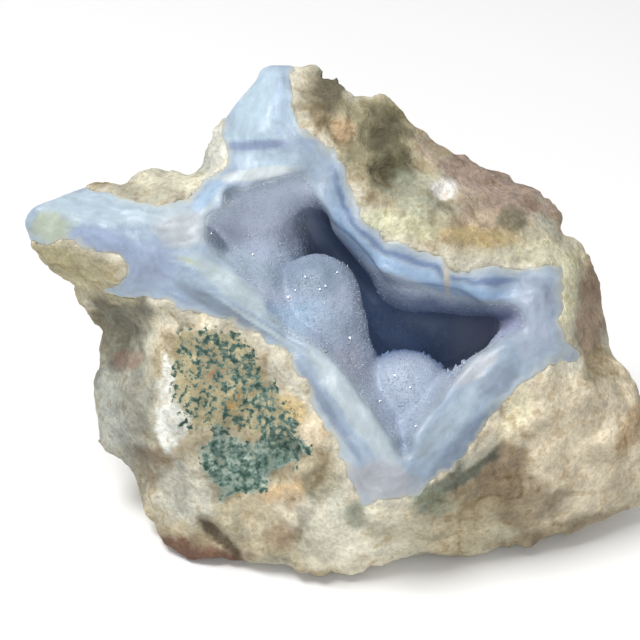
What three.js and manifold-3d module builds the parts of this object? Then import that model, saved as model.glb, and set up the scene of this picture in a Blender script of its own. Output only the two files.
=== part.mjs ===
// Blue agate geode: a broken lump of host rock, the agate lining of its hollow, and the druse of quartz on the lining.
// Millimetres, +Z up. The origin is the middle of the small flat spot that the stone rests on.
//
// The stone is drawn in a face frame: u runs right, v up and w out of the broken face, towards the eye.
// A face point (u, v) is where the eye sees it in the plane w = 0, so its true place narrows as w nears the eye.
import * as THREE from "three";
import { mergeVertices } from "three/addons/utils/BufferGeometryUtils.js";
import Module from "manifold-3d";

const wasm = await Module();
wasm.setup();

// Where the face frame stands: how far off the eye is, how high it looks down from, and the face's height and set-back.
const EYE_DISTANCE = 302;
const FACE_TILT = THREE.MathUtils.degToRad(90 - 35);
const FACE_HEIGHT = 48.5;
const FACE_SETBACK = -6;

// Layer sizes.
const LINING_THICKNESS = 8;
const ARM_LINING_DEPTH = 9;
const CRUST_THICKNESS = 1.2;
const GAP = 0.3;
const CRUST_GAP = 0.6;

// The stone's side is steep over this height, and its back bulges this deep behind it.
const SIDE_HEIGHT = 7;
const BACK_DEPTH = 48;

// Small knobs all over the broken face.
const KNOB_HEIGHT = 0.6;
const KNOB_SPACING = 13;

// The step at the hollow's mouth, and how blunt the cones of the face and of the hollow's floor are.
const RIM_STEP = 1;
const FACE_BLUNTNESS = 1;
const FLOOR_BLUNTNESS = 2;

// The floor moves back by more than its walls do, because much of it is steep.
const FLOOR_SINK = 1.7;

// Heights well below and above the stone.
const BELOW_STONE = -78;
const ABOVE_FACE = 34;

// How finely round forms are faceted: the walls that show, and those between two layers.
// Hidden balls are swollen a little, so that their flat facets stay outside the shown ones.
const SHOWN = { ball: 2, swell: 1, cap: 4, round: 16 };
const HIDDEN = { ball: 1, swell: 1.06, cap: 2, round: 8 };

// Where the rings of each sheet lie, as shares of the way out from its centre. They crowd at the edge.
const FACE_RINGS = [0.32, 0.5, 0.66, 0.8, 0.91, 1];
const BACK_RINGS = [0.6, 0.86, 1];
const SKIN_RINGS = [0.4, 0.7, 1];
const FLOOR_RINGS = [0.3, 0.55, 0.75, 0.9, 1];
const LID = { height: () => ABOVE_FACE, rings: [1] };

// The stone's outline, clockwise from the tip of the left arm.
const OUTLINE = [
  [-59.2, 19.6], [-57.4, 22.6], [-54, 24.2], [-49, 26], [-44, 26.8], [-38.4, 26.8], [-36, 28.6], [-32, 29.4],
  [-28, 29], [-24.8, 29.4], [-23.2, 32], [-21.6, 36], [-21.4, 38.2], [-18.8, 40.8], [-16.4, 44.2], [-13, 48],
  [-11.4, 51], [-8, 51.2], [-4, 50.6], [-1.8, 50], [-0.4, 48.6], [3.2, 47.8], [5.2, 45.2], [9.4, 44],
  [12.6, 44.8], [14.8, 43.6], [18.4, 39.2], [23.2, 35.6], [30, 32], [36, 29.2], [42, 26], [46, 24.2],
  [48.4, 21.2], [48.6, 17], [50.8, 16.6], [52.6, 14.2], [54.6, 9], [56.2, 3], [57.4, -5], [60, -8.8],
  [62.2, -11.6], [64, -15.2], [66.4, -20], [67.6, -27], [67, -34], [64.6, -38.4], [60.4, -39.2], [57.6, -41.6],
  [52, -43.8], [45, -45.8], [38, -47.2], [30, -47.6], [26, -48.4], [23.6, -47.6], [16.4, -48], [14, -50],
  [8, -51.4], [4.6, -53], [0, -52.8], [-3, -51.2], [-7, -50], [-11.6, -51], [-18, -50.2], [-25, -48.8],
  [-29.6, -47.8], [-32, -45], [-33, -41], [-34.8, -38], [-36.8, -32], [-38.4, -29], [-41, -26.2], [-44.4, -25.4],
  [-44.8, -22], [-45.8, -17], [-45.6, -12], [-44.4, -7], [-44.2, -2], [-45.4, 0], [-48, 2.8], [-49.2, 5.6],
  [-49.8, 7.6], [-52.4, 9.4], [-55.6, 12.4], [-57.6, 14.8], [-58.4, 17],
];
const OUTLINE_CENTRE = [4, 4];

// Where the agate meets the rock on the broken face. It runs past the outline where the agate reaches the stone's edge.
const AGATE_EDGE = [
  [-61, 19], [-58, 25], [-52, 27], [-44, 26], [-38.4, 24.8], [-34, 23.8], [-30, 23.2], [-26.4, 24.4],
  [-24.4, 27.4], [-22.4, 29.4], [-19.6, 31], [-19, 34], [-19.2, 38], [-19.6, 41.6], [-16, 47], [-12.4, 52.4],
  [-6, 52.4], [-5, 49], [-5.2, 45], [-5.2, 41.6], [-3, 38.8], [0.4, 36.4], [3, 33.6], [5, 30],
  [7.2, 26], [9.2, 21.6], [11.2, 18.4], [15, 16], [20, 14.4], [24.4, 13.6], [26, 11], [31, 10.4],
  [37, 10.8], [44, 11.2], [48.4, 10.4], [48.8, 6], [48.6, 1], [50, -4], [52, -7.6], [48, -8.8],
  [43.6, -10], [40.8, -13], [36, -17], [33.6, -21.6], [30, -25.6], [25.6, -29.6], [21.6, -32.8], [19.6, -35],
  [15, -36], [9, -36.6], [6.4, -33.6], [5, -30], [3.6, -26.4], [1, -21], [-2.4, -15], [-4.8, -10],
  [-7.6, -6.4], [-11.6, -4.4], [-16, -2], [-21, 0], [-27, 2], [-33, 3.4], [-39, 4.4], [-43, 6],
  [-40.4, 7], [-39.2, 10.4], [-41.6, 13.2], [-46, 14.6], [-50, 15.4], [-54, 15.4], [-56.8, 16], [-60, 16.8],
];

// The mouth of the hollow, where the broken agate turns down into it.
const MOUTH = [
  [-23.4, 18.8], [-22.4, 21.6], [-19.6, 24.4], [-16, 26.8], [-10, 28.4], [-4.4, 29.6], [-1.8, 28], [0, 24],
  [2.4, 19], [5, 15.4], [7.6, 12.6], [11, 10], [15.6, 8.4], [22, 6], [26, 4.4], [32, 3.6],
  [38, 3.4], [41, 1], [40.4, -2.4], [36, -4.4], [32, -6.8], [28.8, -10], [25.4, -14.4], [22, -19],
  [19, -24], [17, -28.4], [14, -24], [10, -18.4], [6, -13], [2, -8], [-2.4, -5], [-7, -3],
  [-10.4, 0.4], [-11.6, 4], [-15, 7.6], [-19, 11], [-23, 15],
];
const MOUTH_CENTRE = [9, 0];

// Heights w of the broken face at places read from the stone. The face passes through every one of them.
const FACE_HEIGHTS = [
  // along the outline, clockwise from the left tip
  [-59.2, 19.6, -3], [-49, 26, -5], [-38.4, 26.8, -6], [-32, 29.4, -8], [-24.8, 29.4, -7], [-21.5, 37, -8],
  [-14, 47, -8], [-8, 51.2, -8], [0, 49, -10], [12.6, 44.8, -13], [23.2, 35.6, -14], [36, 29.2, -15],
  [46, 24.2, -14], [50, 17, -12], [56, 3, -16], [57.4, -5, -14], [64, -15, -10], [67.5, -27, -16],
  [64, -38, -19], [52, -44, -16], [38, -47, -13], [26, -48.4, -11], [14, -50, -9], [4.6, -53, -6.5],
  [-11.6, -51, -9], [-25, -48.8, -11], [-32, -45, -14], [-36.8, -32, -15], [-44.4, -25.4, -16], [-45.8, -15, -15],
  [-44.2, -2, -18], [-49.5, 6, -12], [-55.6, 12.4, -6],
  // left arm, the recess under it, and the left face down to its white vein
  [-44, 20, 2], [-34, 19, 3], [-50, 12, -2], [-41, 9.5, 0], [-44, 3, -9], [-38, -2, -10],
  [-40, -8, -12], [-38, -17, -7], [-40, -22, -10], [-31, -8, -1], [-31, -18, 0], [-28, -24, 0],
  // front face with its green patches, and the foot of the stone
  [-22, -8, 2], [-14, -12, 3], [-10, -20, 2], [-16, -27, -2], [-22, -38, -5], [-6, -38, 0],
  [-14, -44, -5], [22, -40, 2], [8, -44, 0],
  // rim of the hollow, anticlockwise from the left
  [-26, 20, 3.5], [-30, 15, 4.5], [-23, 8, 5], [-27, 3, 4], [-14, -3.5, 5], [-6, -9, 6],
  [1, -20, 7.5], [7, -30, 8.5], [14, -34, 8], [24, -27, 6.5], [36, -16, 6.5], [43, -10, 5],
  [48.5, -2, 2], [48.5, 8, 1], [38, 6, 1], [24, 10, 2], [12, 14, 2], [6, 24, 0.5],
  [1, 32, 0], [-10, 29.5, 1], [-20, 26, 2],
  // right face and right side
  [48, -26, 0], [56, -16, 0], [60, -26, -6], [40, -38, -4], [50, -36, -7], [53, 0, -8],
  // upper face, upper arm and the rock behind the left arm
  [16, 22, 0.5], [26, 17, 1], [44, 14, 0], [25, 26, -4], [36, 20, -3], [13, 34, -5],
  [2, 43, -4], [-10, 44, -2], [-12, 38, 0], [-8, 34, 1.5], [-32, 26.5, -2],
];

// Flat breaks round the back: a point on each, and the way it faces.
const BREAKS = [
  { at: [0, 0, -50], faces: [0, 0, -1] },
  { at: [0, 10, -50], faces: [0, 0.7, -1] },
  { at: [-15, 0, -50], faces: [-0.8, 0, -1] },
  { at: [30, 0, -50], faces: [0.54, 0, -1] },
  { at: [-24.8, 29.4, -22], faces: [-0.42, 0.56, -1] },
  { at: [36, 29.2, -30], faces: [0.36, 0.48, -1] },
  { at: [64, -38, -34], faces: [0.35, -0.35, -1] },
  { at: [-44.4, -25.4, -30], faces: [-0.7, -0.21, -1] },
];

// The underside, over the ground plane: the flat spot that the stone rests on, and the breaks that rise round it.
// Each leaves the ground at a point (x, y) and rises towards a bearing. Bearing and rise are in degrees.
const UNDERSIDE = [
  { leaves: [0, 0], towards: 0, rise: 0 },
  { leaves: [30, 0], towards: 0, rise: 5 },
  { leaves: [0, -20], towards: -90, rise: 3 },
  { leaves: [-26, 0], towards: 185, rise: 6 },
  { leaves: [24, -16], towards: -40, rise: 3 },
  { leaves: [22, 15], towards: 50, rise: 18 },
  { leaves: [-20, 16], towards: 125, rise: 24 },
];

// Heights w of the hollow's floor inside its mouth, where the floor can be seen.
const FLOOR_HEIGHTS = [
  // upper left chamber, a smooth bowl that deepens to the right
  [-19, 25, -1], [-12, 26, -2], [-4, 27, -2], [-21, 20, 0], [-14, 21, -5.5], [-6, 21, -8], [-1, 21, -11],
  [-16, 16, -4.5], [-8, 15.5, -8], [-2, 15, -13],
  // crest between that chamber and the rim on the left
  [-19, 13, 1], [-14, 11, -0.5], [-9, 9, -1],
  // round the middle lump and down the valley beside it
  [-8, 2, 2.5], [4, 12, -12], [10, 4, -13], [10.6, -8, -5], [11, -14, -1],
  // round the lower lump, and up the wall at the right end
  [14, -7, -8], [15.4, -21, 0], [17, -25, 2.5], [22, -16, 0.5], [26, -8, -9], [24, -2, -16], [32, -5, -3],
  [37, -1, -3],
];

// The hollow's deep chambers: ellipsoids of semi-axes half, turned about w.
const CHAMBERS = [
  { name: "deep", at: [22.5, -1, -12], half: [15.5, 10, 17], turn: -4 },
  { name: "slit", at: [6, 10.5, -12], half: [14, 5.5, 14], turn: -52 },
];

// Rounded lumps of agate that grow into the hollow, each a ball swept between two points.
const LUMPS = [
  { name: "middle lump", from: [-0.5, 4.5, -7], to: [2, -8, -7.5], radius: 8.8 },
  { name: "lower lump", from: [17, -15, -10], to: [20, -19, -10.5], radius: 9.5 },
  { name: "lip", from: [18, 8.6, -7], to: [36, 7.4, -7], radius: 7 },
  { name: "upper lip", from: [7, 20, -5], to: [15, 10, -6], radius: 5 },
];

// Pits in the rock face, each an ellipsoid cut out of it.
const PITS = [
  { name: "upper dark pit", at: [12, 37, -3], half: [5, 4, 4.5], turn: -50 },
  { name: "lower dark pit", at: [13.5, 31, -2], half: [4.4, 3.4, 4], turn: -60 },
  { name: "pale crater", at: [25, 26, -2], half: [1.9, 1.9, 3], turn: 0 },
  { name: "slot", at: [-20.5, -43, -5.5], half: [4.2, 1.1, 2.6], turn: -38 },
  { name: "chip under the green patch", at: [-12, -29.5, 1.5], half: [11, 3.4, 2.6], turn: 27 },
];

// A lump whose wall has moved back to less than this radius has no wall left.
const LEAST_RADIUS = 1;

// The larger quartz points of the druse: how many each lump carries, and their sizes.
// They cover this share of the half of a ball that faces the eye, and each stands this share further along the lump.
const POINTS_PER_LUMP = 14;
const POINT_RADIUS = 0.95;
const POINT_HEIGHT = 1.5;
const POINT_SUNK = 0.6;
const POINT_COVER = 0.85;
const POINT_STRIDE = 0.37;

// How far the agate's skin reaches past the outline, and the side of a box that cuts off all beyond a break.
const SKIN_MARGIN = 2;
const BREAK_BOX = 400;

// A face point at height w, in the face frame.
function seen([u, v, w]) {
  const narrowing = 1 - w / EYE_DISTANCE;
  return new THREE.Vector3(u * narrowing, v * narrowing, w);
}

// A closed three.js geometry as a manifold solid.
function solidOf(geometry, matrix = new THREE.Matrix4()) {
  const bare = geometry.clone();
  bare.deleteAttribute("normal");
  bare.deleteAttribute("uv");
  const merged = mergeVertices(bare, 1e-4).applyMatrix4(matrix);
  const mesh = new wasm.Mesh({
    numProp: 3,
    vertProperties: new Float32Array(merged.attributes.position.array),
    triVerts: new Uint32Array(merged.index.array),
  });
  return new wasm.Manifold(mesh);
}

// The largest body of a solid, because a cut can leave loose crumbs.
function mainBody(solid) {
  return solid.decompose().sort((a, b) => b.volume() - a.volume())[0];
}

// Solves the linear system matrix * x = right side by elimination with row swaps.
function solve(matrix, right) {
  const rows = matrix.map((row, i) => [...row, right[i]]);
  const size = rows.length;
  for (let i = 0; i < size; i++) {
    let best = i;
    for (let j = i + 1; j < size; j++) if (Math.abs(rows[j][i]) > Math.abs(rows[best][i])) best = j;
    [rows[i], rows[best]] = [rows[best], rows[i]];
    for (let j = i + 1; j < size; j++) {
      const share = rows[j][i] / rows[i][i];
      for (let k = i; k <= size; k++) rows[j][k] -= share * rows[i][k];
    }
  }
  const x = new Array(size).fill(0);
  for (let i = size - 1; i >= 0; i--) {
    let rest = rows[i][size];
    for (let k = i + 1; k < size; k++) rest -= rows[i][k] * x[k];
    x[i] = rest / rows[i][i];
  }
  return x;
}

// A surface through known heights over (u, v): a sum of blunt cones, one at each known place, plus a plane.
function surfaceThrough(known, bluntness) {
  const size = known.length;
  const cone = (u, v, [a, b]) => Math.hypot(u - a, v - b, bluntness);
  const matrix = known.map(([u, v]) => [...known.map((k) => cone(u, v, k)), 1, u, v]);
  matrix.push([...known.map(() => 1), 0, 0, 0]);
  matrix.push([...known.map(([a]) => a), 0, 0, 0]);
  matrix.push([...known.map(([, b]) => b), 0, 0, 0]);
  const x = solve(matrix, [...known.map((k) => k[2]), 0, 0, 0]);
  const plane = (u, v) => x[size] + x[size + 1] * u + x[size + 2] * v;
  return (u, v) => known.reduce((sum, k, i) => sum + x[i] * cone(u, v, k), plane(u, v));
}
const broadFace = surfaceThrough(FACE_HEIGHTS, FACE_BLUNTNESS);
const turnPerMm = (2 * Math.PI) / KNOB_SPACING;
const knobs = (u, v) => Math.sin((u + 0.4 * v) * turnPerMm) * Math.sin((v - 0.3 * u) * turnPerMm);
const faceHeight = (u, v) => broadFace(u, v) + KNOB_HEIGHT * knobs(u, v);
const mouthHeights = MOUTH.map(([u, v]) => [u, v, faceHeight(u, v) - RIM_STEP]);
const floorHeight = surfaceThrough([...mouthHeights, ...FLOOR_HEIGHTS], FLOOR_BLUNTNESS);

// A solid between two sheets over a star-shaped outline. A sheet's rings shrink from the outline to the centre.
function slab(outline, centre, top, bottom) {
  const points = [];
  const faces = [];
  const count = outline.length;
  const addSheet = ({ height, rings }, outwards) => {
    const middle = points.length;
    points.push(seen([...centre, height(...centre, 0)]));
    const staggered = (r) => (rings.length - r) % 2 === 1;
    for (let r = 1; r <= rings.length; r++) {
      const share = rings[r - 1];
      for (let i = 0; i < count; i++) {
        const along = staggered(r) ? 0.5 : 0;
        const [a, b] = outline[i];
        const [c, d] = outline[(i + 1) % count];
        const [u, v] = [a + (c - a) * along - centre[0], b + (d - b) * along - centre[1]];
        const at = [centre[0] + u * share, centre[1] + v * share];
        points.push(seen([...at, height(...at, share)]));
      }
    }
    const ring = (r, i) => middle + 1 + (r - 1) * count + (i % count);
    const add = (a, b, c) => faces.push(...(outwards ? [a, c, b] : [a, b, c]));
    for (let i = 0; i < count; i++) {
      add(middle, ring(1, i), ring(1, i + 1));
      for (let r = 1; r < rings.length; r++) {
        const [inner, outer] = staggered(r) ? [i, i + 1] : [i + 1, i];
        add(ring(r, i), ring(r + 1, i), staggered(r) ? ring(r + 1, i + 1) : ring(r, i + 1));
        add(ring(r, inner), ring(r + 1, outer), staggered(r) ? ring(r, i + 1) : ring(r + 1, i + 1));
      }
    }
    return (i) => ring(rings.length, i);
  };
  const topEdge = addSheet(top, true);
  const bottomEdge = addSheet(bottom, false);
  for (let i = 0; i < count; i++) {
    faces.push(topEdge(i), topEdge(i + 1), bottomEdge(i + 1), topEdge(i), bottomEdge(i + 1), bottomEdge(i));
  }
  const geometry = new THREE.BufferGeometry().setFromPoints(points);
  geometry.setIndex(faces);
  return solidOf(geometry);
}

// An outline moved outwards by a distance, each point along the mean of its two edges' normals.
function grown(outline, distance) {
  return outline.map(([u, v], i) => {
    const [a, b] = outline[(i + outline.length - 1) % outline.length];
    const [c, d] = outline[(i + 1) % outline.length];
    const length = Math.hypot(c - a, d - b);
    return [u - ((d - b) / length) * distance, v + ((c - a) / length) * distance];
  });
}

// A prism over any outline, along the lines of sight.
function prism(outline, low, high) {
  const shape = new THREE.Shape(outline.map(([u, v]) => new THREE.Vector2(u, v)));
  const geometry = new THREE.ExtrudeGeometry(shape, { depth: high - low, bevelEnabled: false });
  const position = geometry.attributes.position;
  for (let i = 0; i < position.count; i++) {
    const p = seen([position.getX(i), position.getY(i), position.getZ(i) + low]);
    position.setXYZ(i, p.x, p.y, p.z);
  }
  return solidOf(geometry);
}

// An ellipsoid at a face point, its semi-axes grown by a distance.
function ellipsoid({ at, half, turn }, extra, detail) {
  const matrix = new THREE.Matrix4().compose(
    seen(at),
    new THREE.Quaternion().setFromAxisAngle(new THREE.Vector3(0, 0, 1), THREE.MathUtils.degToRad(turn)),
    new THREE.Vector3(...half).addScalar(extra).multiplyScalar(detail.swell),
  );
  return solidOf(new THREE.IcosahedronGeometry(1, detail.ball), matrix);
}

// A ball swept between two face points.
function lump({ from, to, radius }, extra, detail) {
  const start = seen(from);
  const end = seen(to);
  const along = end.clone().sub(start);
  const turn = new THREE.Quaternion().setFromUnitVectors(new THREE.Vector3(0, 1, 0), along.clone().normalize());
  const middle = start.clone().add(end).multiplyScalar(0.5);
  const matrix = new THREE.Matrix4().compose(middle, turn, new THREE.Vector3(1, 1, 1));
  return solidOf(new THREE.CapsuleGeometry(radius + extra, along.length(), detail.cap, detail.round), matrix);
}

// The half-space outside a flat break, as a large box whose one side lies on it.
function outside({ at, faces }) {
  const normal = new THREE.Vector3(...faces).normalize();
  const centre = new THREE.Vector3(...at).addScaledVector(normal, BREAK_BOX / 2);
  const turn = new THREE.Quaternion().setFromUnitVectors(new THREE.Vector3(0, 0, 1), normal);
  const matrix = new THREE.Matrix4().compose(centre, turn, new THREE.Vector3(1, 1, 1));
  return solidOf(new THREE.BoxGeometry(BREAK_BOX, BREAK_BOX, BREAK_BOX), matrix);
}

// A break of the underside as a flat break of the face frame.
function underBreak({ leaves: [x, y], towards, rise }) {
  const bearing = THREE.MathUtils.degToRad(towards);
  const slope = THREE.MathUtils.degToRad(rise);
  const out = Math.sin(slope);
  const faces = new THREE.Vector3(out * Math.cos(bearing), out * Math.sin(bearing), -Math.cos(slope));
  const at = new THREE.Vector3(x, y - FACE_SETBACK, -FACE_HEIGHT);
  const axis = new THREE.Vector3(1, 0, 0);
  return {
    at: at.applyAxisAngle(axis, -FACE_TILT).toArray(),
    faces: faces.applyAxisAngle(axis, -FACE_TILT).toArray(),
  };
}

// The hollow's free space, with its walls moved back by a distance.
function hollow(back, detail) {
  const floor = { height: (u, v) => floorHeight(u, v) - back * FLOOR_SINK, rings: FLOOR_RINGS };
  let space = slab(grown(MOUTH, back), MOUTH_CENTRE, LID, floor);
  for (const chamber of CHAMBERS) space = space.add(ellipsoid(chamber, back, detail));
  const thick = LUMPS.filter(({ radius }) => radius > back + LEAST_RADIUS);
  for (const each of thick) space = space.subtract(lump(each, -back, detail));
  return space;
}

// The whole broken stone, without its hollow.
function brokenStone() {
  const dome = (share) => SIDE_HEIGHT + BACK_DEPTH * Math.sqrt(Math.max(0, 1 - share ** 2));
  const face = { height: faceHeight, rings: FACE_RINGS };
  const back = { height: (u, v, share) => faceHeight(u, v) * share ** 2 - dome(share), rings: BACK_RINGS };
  let stone = slab(OUTLINE, OUTLINE_CENTRE, face, back);
  for (const each of BREAKS) stone = stone.subtract(outside(each));
  for (const each of UNDERSIDE) stone = stone.subtract(outside(underBreak(each)));
  for (const pit of PITS) stone = stone.subtract(ellipsoid(pit, 0, HIDDEN));
  return stone;
}

// The space of the agate: a skin under the broken face, and a wall round the hollow.
function agateSpace(extra) {
  const under = { height: (u, v) => faceHeight(u, v) - ARM_LINING_DEPTH - extra, rings: SKIN_RINGS };
  const skin = slab(grown(OUTLINE, SKIN_MARGIN), OUTLINE_CENTRE, LID, under);
  const wall = hollow(CRUST_THICKNESS + LINING_THICKNESS + extra, HIDDEN);
  return skin.add(wall).intersect(prism(grown(AGATE_EDGE, extra), BELOW_STONE, ABOVE_FACE));
}

// Six-sided quartz points standing on the lumps, spread over each by the golden angle.
function quartzPoints() {
  const points = [];
  const golden = Math.PI * (3 - Math.sqrt(5));
  const up = new THREE.Vector3(0, 1, 0);
  for (const { from, to, radius } of LUMPS) {
    for (let i = 0; i < POINTS_PER_LUMP; i++) {
      const share = (i + 0.5) / POINTS_PER_LUMP;
      const lean = Math.acos(1 - share * POINT_COVER);
      const normal = new THREE.Vector3(
        Math.sin(lean) * Math.cos(i * golden),
        Math.sin(lean) * Math.sin(i * golden),
        Math.cos(lean),
      );
      const root = seen(from).lerp(seen(to), (i * POINT_STRIDE) % 1);
      root.addScaledVector(normal, radius - POINT_SUNK + POINT_HEIGHT / 2);
      const turn = new THREE.Quaternion().setFromUnitVectors(up, normal);
      const matrix = new THREE.Matrix4().compose(root, turn, new THREE.Vector3(1, 1, 1));
      points.push(solidOf(new THREE.ConeGeometry(POINT_RADIUS, POINT_HEIGHT, 6), matrix));
    }
  }
  return points.reduce((all, one) => all.add(one));
}

// A named mesh of a solid.
function meshOf(name, solid, material) {
  const { numProp, vertProperties, triVerts } = mainBody(solid).getMesh();
  const count = vertProperties.length / numProp;
  const position = new Float32Array(count * 3);
  for (let i = 0; i < count; i++) position.set(vertProperties.subarray(i * numProp, i * numProp + 3), i * 3);
  const geometry = new THREE.BufferGeometry();
  geometry.setAttribute("position", new THREE.BufferAttribute(position, 3));
  geometry.setIndex(new THREE.BufferAttribute(new Uint32Array(triVerts), 1));
  const flat = geometry.toNonIndexed();
  flat.computeVertexNormals();
  const mesh = new THREE.Mesh(flat, material);
  mesh.name = name;
  return mesh;
}

const rockFinish = new THREE.MeshStandardMaterial({ color: "#a39a80", roughness: 0.92, metalness: 0 });
const agateFinish = new THREE.MeshStandardMaterial({ color: "#b7cbe6", roughness: 0.38, metalness: 0 });
const druseFinish = new THREE.MeshStandardMaterial({ color: "#b4bccb", roughness: 0.3, metalness: 0 });

const stone = brokenStone();
const rock = stone.subtract(agateSpace(GAP));
const lining = stone.intersect(agateSpace(0)).subtract(hollow(CRUST_THICKNESS + CRUST_GAP, HIDDEN));
const crustSpace = stone.intersect(hollow(CRUST_THICKNESS, HIDDEN));
const crust = crustSpace.subtract(hollow(0, SHOWN)).add(quartzPoints().intersect(crustSpace));

const geode = new THREE.Group();
geode.name = "agate_geode";
geode.rotation.x = FACE_TILT;
geode.position.set(0, FACE_SETBACK, FACE_HEIGHT);
geode.add(meshOf("host_rock", rock, rockFinish));
geode.add(meshOf("agate_lining", lining, agateFinish));
geode.add(meshOf("druse_crust", crust, druseFinish));

export default geode;
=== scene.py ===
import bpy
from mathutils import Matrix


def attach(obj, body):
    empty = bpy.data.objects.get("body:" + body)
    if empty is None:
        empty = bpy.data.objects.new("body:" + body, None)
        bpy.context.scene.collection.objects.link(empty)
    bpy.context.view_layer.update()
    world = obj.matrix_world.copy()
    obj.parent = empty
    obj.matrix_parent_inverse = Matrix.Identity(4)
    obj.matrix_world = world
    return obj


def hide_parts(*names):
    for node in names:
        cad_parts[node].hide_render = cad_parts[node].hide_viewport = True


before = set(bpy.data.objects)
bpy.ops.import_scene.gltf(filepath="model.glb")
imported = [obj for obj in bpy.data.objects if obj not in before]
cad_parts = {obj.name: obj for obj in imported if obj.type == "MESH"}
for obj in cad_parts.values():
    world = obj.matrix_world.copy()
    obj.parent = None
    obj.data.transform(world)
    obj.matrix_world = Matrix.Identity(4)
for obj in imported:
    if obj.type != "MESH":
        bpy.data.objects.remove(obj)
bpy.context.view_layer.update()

# Blue agate geode: weathered host rock, a banded agate lining, and a skin of fine quartz in its hollow.
# Shapes are worked out in millimetres in a frame on the broken face: u right, v up, w towards the eye.

import logging
import math
from dataclasses import dataclass
from enum import Enum
from functools import lru_cache
from typing import Sequence

import bpy
import numpy as np
from mathutils import Vector

log = logging.getLogger("geode")
Array = np.ndarray
Colour = tuple[float, float, float, float]
Outline = Sequence[tuple[float, float]]

# The stone's outline as the eye sees it, clockwise from the tip of the left arm.
OUTLINE = [
    (-59.2, 19.6), (-57.4, 22.6), (-54, 24.2), (-49, 26), (-44, 26.8), (-38.4, 26.8), (-36, 28.6),
    (-32, 29.4), (-28, 29), (-24.8, 29.4), (-23.2, 32), (-21.6, 36), (-21.4, 38.2), (-18.8, 40.8),
    (-16.4, 44.2), (-13, 48), (-11.4, 51), (-8, 51.2), (-4, 50.6), (-1.8, 50), (-0.4, 48.6), (3.2, 47.8),
    (5.2, 45.2), (9.4, 44), (12.6, 44.8), (14.8, 43.6), (18.4, 39.2), (23.2, 35.6), (30, 32), (36, 29.2),
    (42, 26), (46, 24.2), (48.4, 21.2), (48.6, 17), (50.8, 16.6), (52.6, 14.2), (54.6, 9), (56.2, 3),
    (57.4, -5), (60, -8.8), (62.2, -11.6), (64, -15.2), (66.4, -20), (67.6, -27), (67, -34), (64.6, -38.4),
    (60.4, -39.2), (57.6, -41.6), (52, -43.8), (45, -45.8), (38, -47.2), (30, -47.6), (26, -48.4),
    (23.6, -47.6), (16.4, -48), (14, -50), (8, -51.4), (4.6, -53), (0, -52.8), (-3, -51.2), (-7, -50),
    (-11.6, -51), (-18, -50.2), (-25, -48.8), (-29.6, -47.8), (-32, -45), (-33, -41), (-34.8, -38),
    (-36.8, -32), (-38.4, -29), (-41, -26.2), (-44.4, -25.4), (-44.8, -22), (-45.8, -17), (-45.6, -12),
    (-44.4, -7), (-44.2, -2), (-45.4, 0), (-48, 2.8), (-49.2, 5.6), (-49.8, 7.6), (-52.4, 9.4),
    (-55.6, 12.4), (-57.6, 14.8), (-58.4, 17),
]
OUTLINE_CENTRE = (4, 4)

# Where the agate meets the rock on the broken face.
AGATE_EDGE = [
    (-61, 19), (-58, 25), (-52, 27), (-44, 26), (-38.4, 24.8), (-34, 23.8), (-30, 23.2), (-26.4, 24.4),
    (-24.4, 27.4), (-22.4, 29.4), (-19.6, 31), (-19, 34), (-19.2, 38), (-19.6, 41.6), (-16, 47),
    (-12.4, 52.4), (-6, 52.4), (-5, 49), (-5.2, 45), (-5.2, 41.6), (-3, 38.8), (0.4, 36.4), (3, 33.6),
    (5, 30), (7.2, 26), (9.2, 21.6), (11.2, 18.4), (15, 16), (20, 14.4), (24.4, 13.6), (26, 11), (31, 10.4),
    (37, 10.8), (44, 11.2), (48.4, 10.4), (48.8, 6), (48.6, 1), (50, -4), (52, -7.6), (48, -8.8),
    (43.6, -10), (40.8, -13), (36, -17), (33.6, -21.6), (30, -25.6), (25.6, -29.6), (21.6, -32.8),
    (19.6, -35), (15, -36), (9, -36.6), (6.4, -33.6), (5, -30), (3.6, -26.4), (1, -21), (-2.4, -15),
    (-4.8, -10), (-7.6, -6.4), (-11.6, -4.4), (-16, -2), (-21, 0), (-27, 2), (-33, 3.4), (-39, 4.4),
    (-43, 6), (-40.4, 7), (-39.2, 10.4), (-41.6, 13.2), (-46, 14.6), (-50, 15.4), (-54, 15.4), (-56.8, 16),
    (-60, 16.8),
]

# The mouth of the hollow, where the broken agate turns down into it.
MOUTH = [
    (-23.4, 18.8), (-22.4, 21.6), (-19.6, 24.4), (-16, 26.8), (-10, 28.4), (-4.4, 29.6), (-1.8, 28),
    (0, 24), (2.4, 19), (5, 15.4), (7.6, 12.6), (11, 10), (15.6, 8.4), (22, 6), (26, 4.4), (32, 3.6),
    (38, 3.4), (41, 1), (40.4, -2.4), (36, -4.4), (32, -6.8), (28.8, -10), (25.4, -14.4), (22, -19),
    (19, -24), (17, -28.4), (14, -24), (10, -18.4), (6, -13), (2, -8), (-2.4, -5), (-7, -3), (-10.4, 0.4),
    (-11.6, 4), (-15, 7.6), (-19, 11), (-23, 15),
]

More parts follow.
